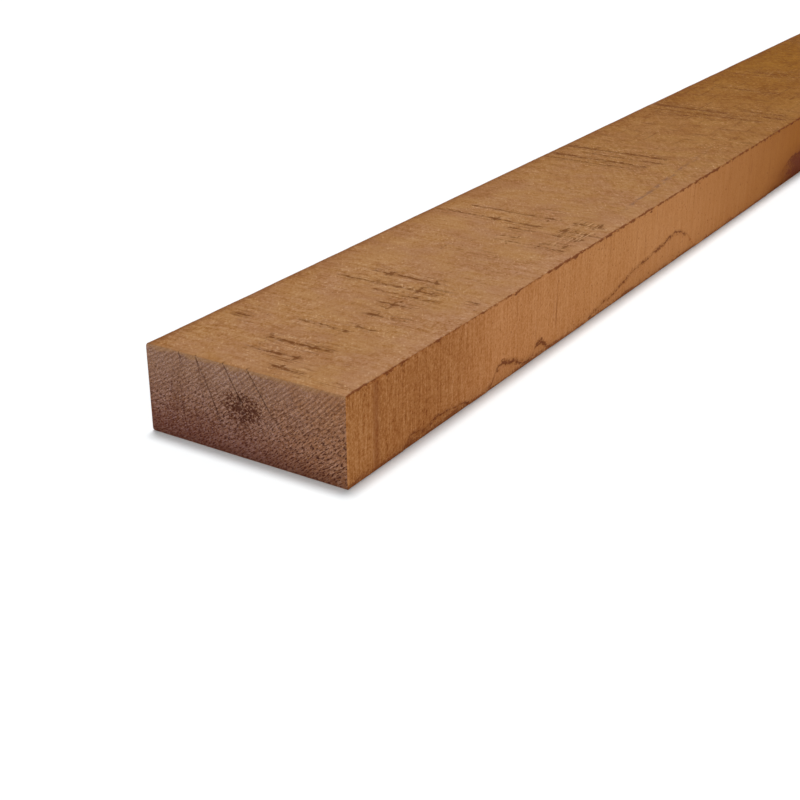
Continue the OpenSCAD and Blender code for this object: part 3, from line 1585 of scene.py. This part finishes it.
class SawnFaceFinish(WoodFinish):
    """The rough-sawn top and underside: tan, fuzzy and scored across by the saw."""

    name = "sawn_face"
    # Colours
    base = srgb(159, 116, 81)
    ochre = srgb(162, 119, 76)
    # Pale fuzz and fibres, and the painted highlights round the scores
    pale = srgb(194, 152, 110)
    pink = srgb(170, 125, 94)
    golden = srgb(134, 87, 24)
    score = srgb(94, 50, 14)
    worn = srgb(118, 72, 40)
    chip = srgb(106, 50, 22)
    stain = srgb(112, 80, 66)
    # Patches of the ground, pinker at the right margin and golden further along
    patches = Lumps(34, 24, 34, 3.0)
    ochre_edge = (0.35, 0.65)
    wander = 24.0
    pink_margin = (30.0, 6.0, 0.35)
    pink_until = (800.0, 300.0)
    golden_from = (200.0, 1100.0)
    golden_until = (1100.0, 2300.0, 0.7)
    # Pale fuzz in clusters, and fibres that the saw raised slantwise to the grain
    fuzz = Lumps(3.4, 3.6, 3.4, 4.0, 0.65, 6.0)
    fuzz_edge = (0.54, 0.7, 0.6)
    clusters = (Lumps(30, 22, 30, 1.0, 0.5, 8.0), (0.4, 0.65, 0.45))
    clusters_until = (1300.0, 300.0)
    cluster_scored = 0.5
    fibre_lean = math.radians(35.0)
    short_fibres = Lumps(5.0, 1.5)
    short_edge = (0.6, 0.74)
    short_least = 0.15
    short_clusters = 1.3
    short_swing = 0.45
    long_fibres = Lumps(14.0, 4.0)
    long_from = (330.0, 520.0, 0.7)
    # Light and shade
    fibres = Lumps(2.4, 26, 2.4)
    scratches = Lumps(13, 3.0, 13, 4.0, 0.65)
    grit = Lumps(1.7, 2.2, 1.7, 2.0, 0.7, 3.0)
    fine_swings = (0.3, 0.9, 1.0, 0.8)
    calm = (Lumps(36, 40, 36, 1.0, 0.5, 21.0), (0.35, 0.62, 0.6))
    calm_least = 0.5
    calmer_from = (150.0, 350.0, 0.25)
    brightness = 0.93
    mottle = Lumps(16, 7, 16, 3.0, 0.6, 13.0)
    coarse_swings = (0.5, 0.2)
    broad = Lumps(24, 42, 24, 3.0, 0.6, 17.0)
    broad_from = (420.0, 800.0, 0.8)
    dimmer_from = (600.0, 900.0, 0.04)
    dim_margin = (34.0, 4.0, 0.16)
    # Hard bands along the grain, which the scores tear worst
    bands = (59.0, 94.0, 117.0, 135.0)
    band_edge = (4.5, 0.5)
    harsh = (Lumps(9, 16, 9, 1.0, 0.5, 2.0), (0.38, 0.62, 0.75))
    harsh_least = 0.25
    bands_until = (470.0, 400.0)
    # The oval place where the saw tore the face worst, combed along the grain
    scar_place = (335.0, 128.0)
    scar_reach = (44.0, 14.0)
    scar_edge = (1.0, 0.4)
    scar_scored = (0.1, 0.5)
    combed = Lumps(1.7, 20, 1.7, 2.0, 0.6, 14.0)
    combed_blots = (0.45, 0.65, 0.5)
    combed_scores = (0.45, 0.65, 0.35)
    combed_pale = (0.52, 0.66, 0.6)
    gouges = Lumps(2.2, 30, 2.2, 3.0, 0.6, 31.0)
    gouge_tears = 0.3
    gouge_edge = (0.52, 0.7, 0.75)
    # Scores, broken into dashes and tears
    dashes = Lumps(16, 4, 16, 2.0, 0.6, 1.0)
    tears = Lumps(4.5, 2.6, 4.5, 2.0, 0.6, 4.0)
    score_swings = (1.4, 2.6, 1.2)
    score_strengths = (0.8, 0.5)
    score_within = (0.0, 0.4)
    score_edge = (0.14, 0.95)
    score_least = (0.15, 1.0, 0.4)
    score_share = 0.88
    # Blots beside the scores
    blots = Lumps(2.4, 5.0, 2.4, 2.0, 0.6, 9.0)
    blot_swings = (2.4, 1.4)
    blot_strengths = (0.1, 1.3)
    blot_scar = 0.3
    blot_edge = (0.38, 0.95)
    blot_share = 0.9
    # Stray scratches, dark grain and fine hatching
    stray = Lumps(8, 2.4, 8, 3.0, 0.6, 5.0)
    stray_grit = 0.3
    stray_scored = 0.1
    stray_edge = (0.6, 0.82)
    stray_strengths = (0.45, 0.25)
    stray_from = (300.0, 480.0, 0.3)
    far_scratches = Lumps(22, 8, 22, 3.0, 0.65, 27.0)
    far_grain = Lumps(3.4, 34, 3.4, 3.0, 0.65, 29.0)
    far_edge = (0.54, 0.74, 0.7)
    far_from = (420.0, 760.0)
    grain = Lumps(2.2, 14, 2.2, 2.0, 0.6, 11.0)
    grain_bands = 0.06
    grain_edge = (0.66, 0.8, 0.5)
    hatch = Lumps(26, 1.3, 26, 2.0, 0.6, 7.0)
    hatch_tears = 0.2
    hatch_scored = 0.08
    hatch_edge = (0.57, 0.74)
    hatch_near = (0.0, 0.4, 0.4)
    hatch_least = 0.3
    # Pale lines round the scores: painted highlight where the scores' edges catch the light
    light = Lumps(20, 1.6, 20, 2.0, 0.6, 23.0)
    highlight_fuzz = 0.3
    highlight_edge = (0.56, 0.76, 0.5)
    highlight_near = (0.0, 0.4)
    # A stained streak that runs slightly across the grain
    streak_run = 15.0
    streak_start = 10.5
    streak_edge = (3.4, 0.6)
    streak_from = (385.0, 430.0)
    streak_until = (650.0, 530.0)
    smears = (Lumps(3, 13, 3, 3.0, 0.5), (0.42, 0.6, 0.6))
    # The worn left arris and the chipped right one
    worn_wander = 10.0
    worn_edge = (9.0, 2.0, 0.7)
    torn_grit = 0.5
    torn_edge = (0.25, 0.7)
    chip_squash = 1.6
    chip_share = 0.8
    # Fine relief of the fibres, scratches, grit and scores
    relief = (0.2, 0.45, 0.35, -0.4)
    surface = Surface(0.78, 0.2, 0.6)

    def material(self) -> bpy.types.Material:
        """Lays all the layers.

        Returns:
            The material.
        """
        self._lay_ground()
        self._lay_fuzz()
        self.shade(self._light_and_shade())
        self._lay_scores()
        self._lay_stain()
        self._lay_edges()
        fine = (self.noise(lumps) for lumps in (self.fibres, self.scratches, self.grit))
        return self.finish(weighed((*fine, self.scores), self.relief))

    @cached_property
    def raised(self) -> Signal:
        """Short fibres that the saw raised."""
        return self._raised(self.short_fibres)

    @cached_property
    def scar(self) -> Signal:
        """The oval place where the saw tore the face worst, near its scores.

        Returns:
            A signal from 0 outside it to 1.
        """
        lengthwise = (self.along - self.scar_place[0]) / self.scar_reach[0]
        sideways = (self.from_left - self.scar_place[1]) / self.scar_reach[1]
        oval = (lengthwise * lengthwise + sideways * sideways).step(*self.scar_edge)
        return oval * self.scored.step(*self.scar_scored)

    @cached_property
    def crossing(self) -> Signal:
        """Hard bands along the grain, which the scores tear worst, from 0 to 1."""
        nearness = largest(*(abs(self.from_left - place).step(*self.band_edge) for place in self.bands))
        return nearness * (self.harsh_least + self.flecks(self.harsh)) * self.along.step(*self.bands_until)

    @cached_property
    def scores(self) -> Signal:
        """All the dark marks: the largest of scores, blots, scratches, grain and hatching.

        Returns:
            A signal from 0 on bare wood to 1.
        """
        grain = (self.noise(self.grain) + self.crossing * self.grain_bands).step(*self.grain_edge)
        blots = self._blots() * self.blot_share
        return largest(self._cores(), blots, self._scratches(), grain, self._hatching())

    def _raised(self, lumps: Lumps) -> Signal:
        """Fibres that the saw raised, which all lie one way, slantwise to the grain.

        Args:
            lumps: Length and width of the fibres.

        Returns:
            Noise from 0 to 1.
        """
        cosine, sine = math.cos(self.fibre_lean), math.sin(self.fibre_lean)
        lengthwise = self.along * cosine - self.from_left * sine
        sideways = self.along * sine + self.from_left * cosine
        return self.noise_over(lengthwise, sideways, lumps)

    def _lay_ground(self) -> None:
        """Lays a second tan in patches, pink at the right margin and gold further along."""
        patches = self.noise(self.patches)
        self.lay(patches.step(*self.ochre_edge), self.ochre)
        margin = (self.from_right + patches.swing(self.wander)).step(*self.pink_margin)
        self.lay(margin * self.along.step(*self.pink_until), self.pink)
        golden = self.along.step(*self.golden_from) * (1.0 - self.along.step(*self.golden_until))
        self.lay(golden, self.golden)

    def _lay_fuzz(self) -> None:
        """Lays the pale fuzz and raised fibres, in clusters and round the scores."""
        clusters = self.flecks(self.clusters) * self.along.step(*self.clusters_until)
        clusters = clusters + self.scored * self.cluster_scored
        self.lay(self.noise(self.fuzz).step(*self.fuzz_edge) * clusters, self.pale)
        share = clusters * self.short_clusters + self.short_least
        self.lay(self.raised.step(*self.short_edge) * share, self.pale)

    def _light_and_shade(self) -> Signal:
        """A sum of swings of fine, coarse and broad noise, dimmer at the left margin.

        Returns:
            A factor of about 1.
        """
        along = self.along
        fine = self.stir(self.fine_swings, self.fibres, self.scratches, self.grit, self.fuzz)
        calm = (self.flecks(self.calm) + self.calm_least) * (1.0 - along.step(*self.calmer_from))
        shade = self.brightness + fine * calm + self.raised.swing(self.short_swing)
        shade = shade + self._raised(self.long_fibres).swing(along.step(*self.long_from))
        shade = shade + self.stir(self.coarse_swings, self.mottle, self.patches)
        shade = shade + self.noise(self.broad).swing(along.step(*self.broad_from))
        margin = (self.from_left + self.noise(self.patches).swing(self.wander)).step(*self.dim_margin)
        return shade - along.step(*self.dimmer_from) - margin

    def _cores(self) -> Signal:
        """The scores themselves, broken into dashes and tears.

        Returns:
            Values from 0 to 1.
        """
        uneven = self.stir(self.score_swings, self.dashes, self.tears, self.grit)
        core = self.mark * (self.score_strengths[0] + self.crossing * self.score_strengths[1])
        core = (core + uneven * self.mark.step(*self.score_within)).step(*self.score_edge)
        combed = self.noise(self.combed).step(*self.combed_scores)
        return core.larger(self.mark.step(*self.score_least)) * (1.0 - self.scar * combed)

    def _blots(self) -> Signal:
        """Blots beside the scores, and gouges in the worst place.

        Returns:
            Values from 0 to 1.
        """
        blots = self.scored * (self.blot_strengths[0] + self.crossing * self.blot_strengths[1])
        blots = blots + self.scar * self.blot_scar + self.stir(self.blot_swings, self.blots, self.tears)
        combed = self.noise(self.combed).step(*self.combed_blots)
        blots = blots.step(*self.blot_edge) * (1.0 - self.scar * combed)
        tears = self.noise(self.tears).swing(self.gouge_tears)
        gouges = (self.noise(self.gouges) + tears).step(*self.gouge_edge)
        return blots.larger(gouges * self.scar)

    def _scratches(self) -> Signal:
        """Stray scratches, and on the further part scratches and dark grain that are coarser.

        Returns:
            Values from 0 to 1.
        """
        grit = self.noise(self.grit).swing(self.stray_grit)
        stray = (self.noise(self.stray) + grit + self.scored * self.stray_scored).step(*self.stray_edge)
        strength = self.stray_strengths[0] + self.scored * self.stray_strengths[1]
        strength = strength + self.along.step(*self.stray_from)
        far = self.noise(self.far_scratches).larger(self.noise(self.far_grain)).step(*self.far_edge)
        return (stray * strength).larger(far * self.along.step(*self.far_from))

    def _hatching(self) -> Signal:
        """Fine hatching across the grain, stronger round the scores.

        Returns:
            Values from 0 to 1.
        """
        tears = self.noise(self.tears).swing(self.hatch_tears)
        hatch = (self.noise(self.hatch) + tears + self.scored * self.hatch_scored).step(*self.hatch_edge)
        return hatch * (self.scored.step(*self.hatch_near) + self.hatch_least)

    def _lay_scores(self) -> None:
        """Lays painted highlights in pale lines round the scores, the scores and pale combed fibres in the
        worst place.
        """
        # Painted highlight in pale lines beside the scores
        light = (self.noise(self.light) + self.noise(self.fuzz).swing(self.highlight_fuzz)).step(*self.highlight_edge)
        self.lay(light * self.scored.step(*self.highlight_near), self.pale)
        self.lay(self.scores * self.score_share, self.score)
        self.lay(self.scar * self.noise(self.combed).step(*self.combed_pale), self.pale)

    def _lay_stain(self) -> None:
        """Lays the stained streak."""
        off = abs(self.from_right - self.along / self.streak_run + self.streak_start)
        reach = self.along.step(*self.streak_from) * self.along.step(*self.streak_until)
        self.lay(off.step(*self.streak_edge) * reach * self.flecks(self.smears), self.stain)

    def _lay_edges(self) -> None:
        """Lays the worn left arris and the chipped right one."""
        worn = (self.from_left + self.noise(self.fuzz).swing(self.worn_wander)).step(*self.worn_edge)
        self.lay(worn, self.worn)
        torn = (self.torn + self.noise(self.grit).swing(self.torn_grit)).step(*self.torn_edge)
        self.lay(torn.larger(self.chips(self.from_right * self.chip_squash) * self.chip_share), self.chip)


class SawnSideFinish(WoodFinish):
    """The sawn sides: more orange, with close upright saw lines and dark torn grain."""

    name = "sawn_side"
    # Colours, and where along the right side the ground passes through them
    base = srgb(184, 124, 72)
    near = srgb(168, 110, 60)
    brown = srgb(162, 103, 54)
    middle = srgb(182, 121, 71)
    far = srgb(149, 87, 22)
    # Dark torn grain, which on the torn lips also stands for painted shadow under the torn edge
    lip = srgb(104, 48, 16)
    bark = srgb(98, 40, 16)
    bark_stain = srgb(112, 54, 16)
    # Ruddy band, specks, hairs and dots of the wood, and the painted shade along the foot
    ruddy = srgb(120, 60, 25)
    stops = (
        (0.0, near), (0.02, brown), (0.04, brown), (0.07, middle), (0.13, base), (0.19, base), (0.32, far),
        (0.36, far), (0.6, middle),
    )
    left_share = 0.3
    # Light and shade, stronger near the checked end
    patches = Lumps(30, 30, 30, 3.0, 0.55)
    bands = Lumps(90, 8, 90, 3.0, 0.65, 12.0)
    coarse_swings = (0.24, 0.3)
    lines = Lumps(40, 1.5, 40)
    pores = Lumps(1.2, 2.0, 5.0, 2.0, 0.6, 2.0)
    grit = Lumps(1.4, 1.6, 1.5, 2.0, 0.7, 3.0)
    fine_swings = (0.6, 0.4, 1.1)
    fine_until = (600.0, 100.0, 0.7)
    finest_until = (180.0, 80.0, 0.8)
    fine_least = 0.4
    # One ruddy band across the grain, and ruddy specks, hairs and dots
    band_place = 30.0
    band_wander = 6.0
    band_edge = (6.0, 0.0, 0.45)
    specks = (Lumps(1.6, 1.9, 2.6, 1.0, 0.5, 9.0), (0.66, 0.78, 0.6))
    hairs = (Lumps(70, 2.4, 70, 2.0, 0.6, 15.0), (0.6, 0.74, 0.55))
    hair_patches = (0.42, 0.6)
    hairs_from = (120.0, 260.0)
    dots = (Lumps(3.0, 4.5, 3.6, 1.0, 0.5, 19.0), (0.68, 0.78, 0.6))
    dots_from = (150.0, 300.0)
    # Painted shade along the foot: darker and ruddier towards the underside
    blotches = Lumps(6, 18, 6, 3.0)
    foot_shade_reach = 2.6
    foot_shade_near = (170.0, 60.0, 1.2)
    foot_shade_swings = (10.0, 7.0)
    foot_shade_edge = (1.25, 0.3, 0.75)
    # The stain round the bark pocket
    soak_wander = 60.0
    soak_lean = 0.8
    soak_from = (665.0, 790.0)
    soak_until = (980.0, 860.0)
    soak_blotches = 16.0
    soak_height = (50.0, 16.0, 0.8)
    # Torn lips, dark with torn grain and painted shadow under the edge, and chips along the upper arris
    crumbs = Lumps(1.8, 2.8, 1.8, 2.0, 0.65, 6.0)
    torn_swings = (2.2, 0.8, 1.4)
    torn_strength = 1.35
    torn_within = (0.0, 0.3)
    torn_edge = (0.35, 1.0)
    torn_tint = (0.05, 0.3, 0.14)
    torn_share = 0.85
    bark_from = (640.0, 700.0)
    # Fine relief of the lines, pores and grit
    relief = (0.5, 0.2, 0.3)
    surface = Surface(0.74, 0.2, 0.4)

    def material(self) -> bpy.types.Material:
        """Lays all the layers.

        Returns:
            The material.
        """
        self._lay_ground()
        self.shade(self._light_and_shade())
        self._lay_specks()
        self._lay_foot_shade_and_stain()
        self._lay_torn()
        fine = [self.noise(lumps) for lumps in (self.lines, self.pores, self.grit)]
        return self.finish(weighed(fine, self.relief))

    @cached_property
    def on_right(self) -> Signal:
        """1 on the right side and 0 on the left."""
        return self.x.step(0.0, self.plank.section.right)

    def _lay_ground(self) -> None:
        """Lays colours that change along the right side, and less so along the left."""
        share = self.along / self.plank.length
        ground = self.node("ShaderNodeValToRGB", {"stops": self.stops}, {0: share})
        self.lay(self.on_right * (1.0 - self.left_share) + self.left_share, ground)

    def _light_and_shade(self) -> Signal:
        """A sum of swings of patches, bands and fine noise.

        Returns:
            A factor of about 1.
        """
        fade = self.along.step(*self.fine_until) + self.along.step(*self.finest_until) + self.fine_least
        coarse = self.stir(self.coarse_swings, self.patches, self.bands)
        return 1.0 + coarse + self.stir(self.fine_swings, self.lines, self.pores, self.grit) * fade

    def _lay_specks(self) -> None:
        """Lays the ruddy band, specks, hairs and dots."""
        off = abs(self.along - self.band_place + self.noise(self.grit).swing(self.band_wander))
        hairs = self.flecks(self.hairs) * self.noise(self.patches).step(*self.hair_patches)
        self.lay(off.step(*self.band_edge), self.ruddy)
        self.lay(self.flecks(self.specks), self.ruddy)
        self.lay(hairs * self.along.step(*self.hairs_from), self.ruddy)
        self.lay(self.flecks(self.dots) * self.along.step(*self.dots_from), self.ruddy)

    def _lay_foot_shade_and_stain(self) -> None:
        """Lays painted shade along the foot, ruddier towards the underside, and the stain round the bark
        pocket.
        """
        blotches = self.noise(self.blotches)
        # Painted shade: ruddy within a few millimetres of the underside, reaching further near the checked
        # end
        reach = self.foot_shade_reach + self.along.step(*self.foot_shade_near)
        foot = (self.rise + self.stir(self.foot_shade_swings, self.blotches, self.grit)) / reach
        self.lay(foot.step(*self.foot_shade_edge), self.ruddy)
        around = self.along + blotches.swing(self.soak_wander)
        lean = self.rise * self.soak_lean
        soaked = (around - lean).step(*self.soak_from) * (around + lean).step(*self.soak_until)
        height = (self.rise + blotches * self.soak_blotches).step(*self.soak_height)
        self.lay(soaked * height * self.on_right, self.bark_stain)

    def _lay_torn(self) -> None:
        """Lays the torn lips with their painted shadow, darker where they are bark, and the chipped upper
        arris.
        """
        ragged = self.stir(self.torn_swings, self.crumbs, self.grit, self.blotches)
        ragged = ragged * self.torn.step(*self.torn_within)
        torn = (self.torn * self.torn_strength + ragged).step(*self.torn_edge)
        self.lay(self.torn.step(*self.torn_tint), self.bark_stain)
        # The torn lips' dark line is torn grain together with painted shadow under the torn edge
        dark = self.mix(self.along.step(*self.bark_from), self.lip, self.bark)
        chips = self.chips(self.plank.section.thickness - self.rise)
        self.lay(torn.larger(chips) * self.torn_share, dark)


class EndGrainFinish(WoodFinish):
    """The crosscut ends: dark and purplish, with the growth rings and pores cut across."""

    name = "end_grain"
    # Colours
    base = srgb(142, 97, 76)
    upper = srgb(154, 114, 87)
    late = srgb(96, 55, 38)
    pore = srgb(64, 29, 18)
    pale = srgb(182, 146, 116)
    crack = srgb(70, 30, 16)
    ruddy = srgb(88, 40, 32)
    orange = srgb(159, 106, 66)
    tan = srgb(166, 122, 78)
    # Patches of the ground
    upper_from = (-5.0, 58.0)
    patches = Lumps(14, 300, 14, 3.0, 0.5)
    orange_wander = 30.0
    orange_margin = (80.0, 0.0, 0.7)
    # Growth rings, as a wave of the distance from the pith mixed with streaks that follow them
    pitch = 2.9
    out_of_round = 0.0012
    mean_radius = 260.0
    wander = Lumps(34, 400, 34, 3.0)
    ring_wander = 2.5
    streaks = Lumps(1.5, 22.0)
    ring_strengths = (0.35, 1.2)
    ring_edge = (0.5, 1.05)
    late_share = 0.5
    # Light and shade, livelier in the lower part
    grit = Lumps(1.4, 40, 1.4, 2.0, 0.75, 4.0)
    rays = Lumps(30.0, 2.6)
    flecked = Lumps(0.8, 1.4, 1.0, 1.0, 0.5, 11.0)
    shade_swings = (0.5, 0.45, 1.8)
    grit_swing = 1.2
    brightness = 1.2
    lively = 0.95
    lively_low = (45.0, 5.0)
    lively_left = (40.0, 110.0, 1.3)
    lively_least = 0.9
    bright_margin = (70.0, 20.0, 0.06)
    # Pale early wood, pores, the ruddy foot and the tan brow
    pale_edge = (0.5, 0.25, 0.35)
    pale_grit = (0.4, 0.7)
    pores = Lumps(0.8, 2.8, 1.0, 1.0)
    pore_edge = (0.46, 0.66)
    pore_height = (90.0, 8.0)
    ruddy_slope = 0.12
    ruddy_swings = (26.0, 14.0)
    ruddy_edge = (18.0, -14.0, 0.5)
    brow_wander = 10.0
    brow_edge = (56.0, 59.0, 0.5)
    # Torn grain and hair cracks
    crumbs = Lumps(4.0, 60, 3.2, 2.0, 0.6, 7.0)
    shreds = Lumps(1.5, 60, 1.3, 1.0, 0.6, 2.0)
    torn_swings = (2.0, 3.0)
    torn_within = (0.0, 0.3)
    torn_edge = (0.4, 0.95)
    torn_share = 0.88
    crack_wander = 4.0
    crack_least = 0.4
    # Fine relief of the rings, pores and grit
    relief = (-0.3, 0.4, 0.3)
    surface = Surface(0.8, 0.18, 0.4)

    def material(self) -> bpy.types.Material:
        """Lays all the layers, with noises that follow the growth rings.

        Returns:
            The material.
        """
        x = self.x + self.plank.pith_left
        z = self.rise - (self.plank.section.thickness + self.plank.pith_rise)
        radius = (x * x + z * z) ** HALF - self.from_right * self.from_right * self.out_of_round
        around = self.maths("ARCTAN2", x, z) * self.mean_radius
        turned = (self.streaks, self.pores, self.rays, self.flecked)
        streaks, pores, rays, flecked = (self.noise_over(radius, around, lumps) for lumps in turned)
        grit = self.noise(self.grit)
        ring = (radius / self.pitch + self.noise(self.wander) * self.ring_wander).wave()
        ring = weighed((ring, streaks), self.ring_strengths).step(*self.ring_edge)
        self._lay_ground()
        self.shade(self._light_and_shade(rays, flecked))
        self.lay(ring * self.late_share, self.late)
        self.lay(streaks.step(*self.pale_edge) * grit.step(*self.pale_grit), self.pale)
        self._lay_age(pores)
        self.lay(self._cracked() * self.torn_share, self.crack)
        return self.finish(weighed((ring, pores, grit), self.relief))

    def _lay_ground(self) -> None:
        """Lays a paler colour above, and a more orange one towards the right side."""
        self.lay(self.rise.step(*self.upper_from), self.upper)
        margin = self.from_right + self.noise(self.patches).swing(self.orange_wander)
        self.lay(margin.step(*self.orange_margin), self.orange)

    def _light_and_shade(self, rays: Signal, flecked: Signal) -> Signal:
        """A sum of swings of patches, rays, flecks and grit, livelier below and to the left.

        Args:
            rays: Noise along the rays of the log.
            flecked: Fine noise along the rings.

        Returns:
            A factor of about 1.
        """
        lively = self.lively_least + self.from_right.step(*self.lively_left)
        lively = self.lively + self.rise.step(*self.lively_low) * lively
        shade = self.brightness + swings((self.noise(self.patches), rays, flecked), self.shade_swings)
        shade = shade + self.noise(self.grit).swing(self.grit_swing) * lively
        return shade + self.from_right.step(*self.bright_margin)

    def _lay_age(self, pores: Signal) -> None:
        """Lays the dark pores, the ruddy foot and the tan brow.

        Args:
            pores: Fine noise along the rings.
        """
        patches = self.noise(self.patches)
        self.lay(pores.step(*self.pore_edge) * self.rise.step(*self.pore_height), self.pore)
        level = self.rise - self.from_right * self.ruddy_slope + swings((patches, pores), self.ruddy_swings)
        self.lay(level.step(*self.ruddy_edge), self.ruddy)
        self.lay((self.rise + patches.swing(self.brow_wander)).step(*self.brow_edge), self.tan)

    def _cracked(self) -> Signal:
        """Torn grain, broken into crumbs, and the hair cracks, which wander a little.

        Returns:
            Values from 0 to 1.
        """
        ragged = self.stir(self.torn_swings, self.crumbs, self.shreds)
        torn = (self.torn + ragged * self.torn.step(*self.torn_within)).step(*self.torn_edge)
        wobble = self.noise(self.crumbs).swing(self.crack_wander)
        from_left = self.from_left + wobble
        below_top = self.plank.section.thickness - self.rise + wobble
        strength = self.crack_least + self.noise(self.patches)
        return largest(torn, *(crack.at(from_left, below_top) * strength for crack in self.plank.hair_cracks))


@dataclass(frozen=True)
class Studio:
    """The camera, floor and soft light round the plank, in millimetres and degrees."""

    camera_place: tuple[float, float, float] = (490.9, -1834.5, 387.1)
    azimuth: float = 33.03
    elevation: float = 24.70
    roll: float = -0.316
    lens: float = 63.39
    floor_reach: float = 30000.0
    floor_colour: Colour = srgb(247, 251, 253)
    floor_glow: float = 0.05
    sky: float = 0.32
    key_azimuth: float = 215.0
    key_elevation: float = 81.4
    key_angle: float = 11.0
    key_strength: float = 0.7
    fill_azimuth: float = 40.0
    fill_elevation: float = 25.0
    fill_angle: float = 60.0
    fill_strength: float = 0.275

    def set_camera(self) -> None:
        """Places the camera, turned to its azimuth, tipped by its elevation and rolled about its axis."""
        data = bpy.data.cameras.new("camera")
        data.lens = self.lens
        camera = linked("camera", data)
        roll = Matrix.Rotation(math.radians(self.roll), 4, "Z")
        place = Matrix.Translation([value * MM for value in self.camera_place])
        camera.matrix_world = place @ self._aim(self.azimuth, self.elevation) @ roll
        bpy.context.scene.camera = camera

    def lay_floor(self) -> None:
        """Lays a pale floor that looks nearly white to the camera and keeps the plank's shadow."""
        reach = self.floor_reach * MM
        corners = [(-reach, -reach, 0.0), (reach, -reach, 0.0), (reach, reach, 0.0), (-reach, reach, 0.0)]
        mesh = bpy.data.meshes.new("floor")
        mesh.from_pydata(corners, [], [(0, 1, 2, 3)])
        floor = linked("floor", mesh)
        bench = Bench(bpy.data.materials.new("pale_floor"))
        seen = bench.node("ShaderNodeLightPath", {}, {}, "Is Camera Ray")
        matt = bench.node("ShaderNodeBsdfDiffuse", {}, {"Color": self.floor_colour})
        glow = bench.node("ShaderNodeEmission", {}, {"Color": WHITE, "Strength": 1.0})
        floor_look = bench.node("ShaderNodeMixShader", {}, {0: seen * self.floor_glow, 1: matt, 2: glow})
        bench.show(floor_look, "ShaderNodeOutputMaterial")
        mesh.materials.append(bench.owner)

    def set_light(self) -> None:
        """Hangs a soft key overhead and a softer fill at the front, and lights the rest from a plain sky.

        The sky is white where the camera or a reflection sees it.
        """
        self._sun("key", self.key_azimuth, self.key_elevation, self.key_angle, self.key_strength)
        self._sun("fill", self.fill_azimuth, self.fill_elevation, self.fill_angle, self.fill_strength)
        world = bpy.data.worlds.new("studio")
        bpy.context.scene.world = world
        bench = Bench(world)
        seen = bench.node("ShaderNodeLightPath", {}, {}, "Is Camera Ray")
        mirrored = bench.node("ShaderNodeLightPath", {}, {}, "Is Glossy Ray")
        strength = self.sky + seen.larger(mirrored) * (1.0 - self.sky)
        sky = bench.node("ShaderNodeBackground", {}, {"Color": WHITE, "Strength": strength})
        bench.show(sky, "ShaderNodeOutputWorld")

    def _sun(self, name: str, azimuth: float, elevation: float, angle: float, strength: float) -> None:
        """Adds an even light from one part of the sky.

        Args:
            name: Name of the light.
            azimuth: Turn of the light about the upright.
            elevation: Height of the light above the floor.
            angle: How wide it looks.
            strength: How bright it makes a white surface that faces it.
        """
        data = bpy.data.lights.new(name, "SUN")
        data.angle = math.radians(angle)
        data.energy = strength * math.pi
        linked(name, data).matrix_world = self._aim(azimuth, elevation)

    def _aim(self, azimuth: float, elevation: float) -> Matrix:
        """A turn about the upright, after a tip from straight down."""
        tip = Matrix.Rotation(math.radians(RIGHT_ANGLE - elevation), 4, "X")
        return Matrix.Rotation(math.radians(azimuth), 4, "Z") @ tip


def main() -> None:
    """Builds the plank and its studio."""
    logging.basicConfig(level=logging.INFO)
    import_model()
    bpy.context.scene.view_settings.view_transform = "Standard"
    studio = Studio()
    studio.set_camera()
    studio.lay_floor()
    studio.set_light()
    low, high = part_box(NODE)
    size = (high - low) / MM
    plank = Plank(length=size.y, section=Section(width=size.x, thickness=size.z))
    piece = plank.build("sawn_plank")
    plank.dress(piece)
    LOG.info("%s: %d vertices, %d faces", piece.name, len(piece.data.vertices), len(piece.data.polygons))
    piece.data.calc_loop_triangles()
    LOG.info("%s: %d triangles", piece.name, len(piece.data.loop_triangles))


if __name__ == "__main__":
    main()
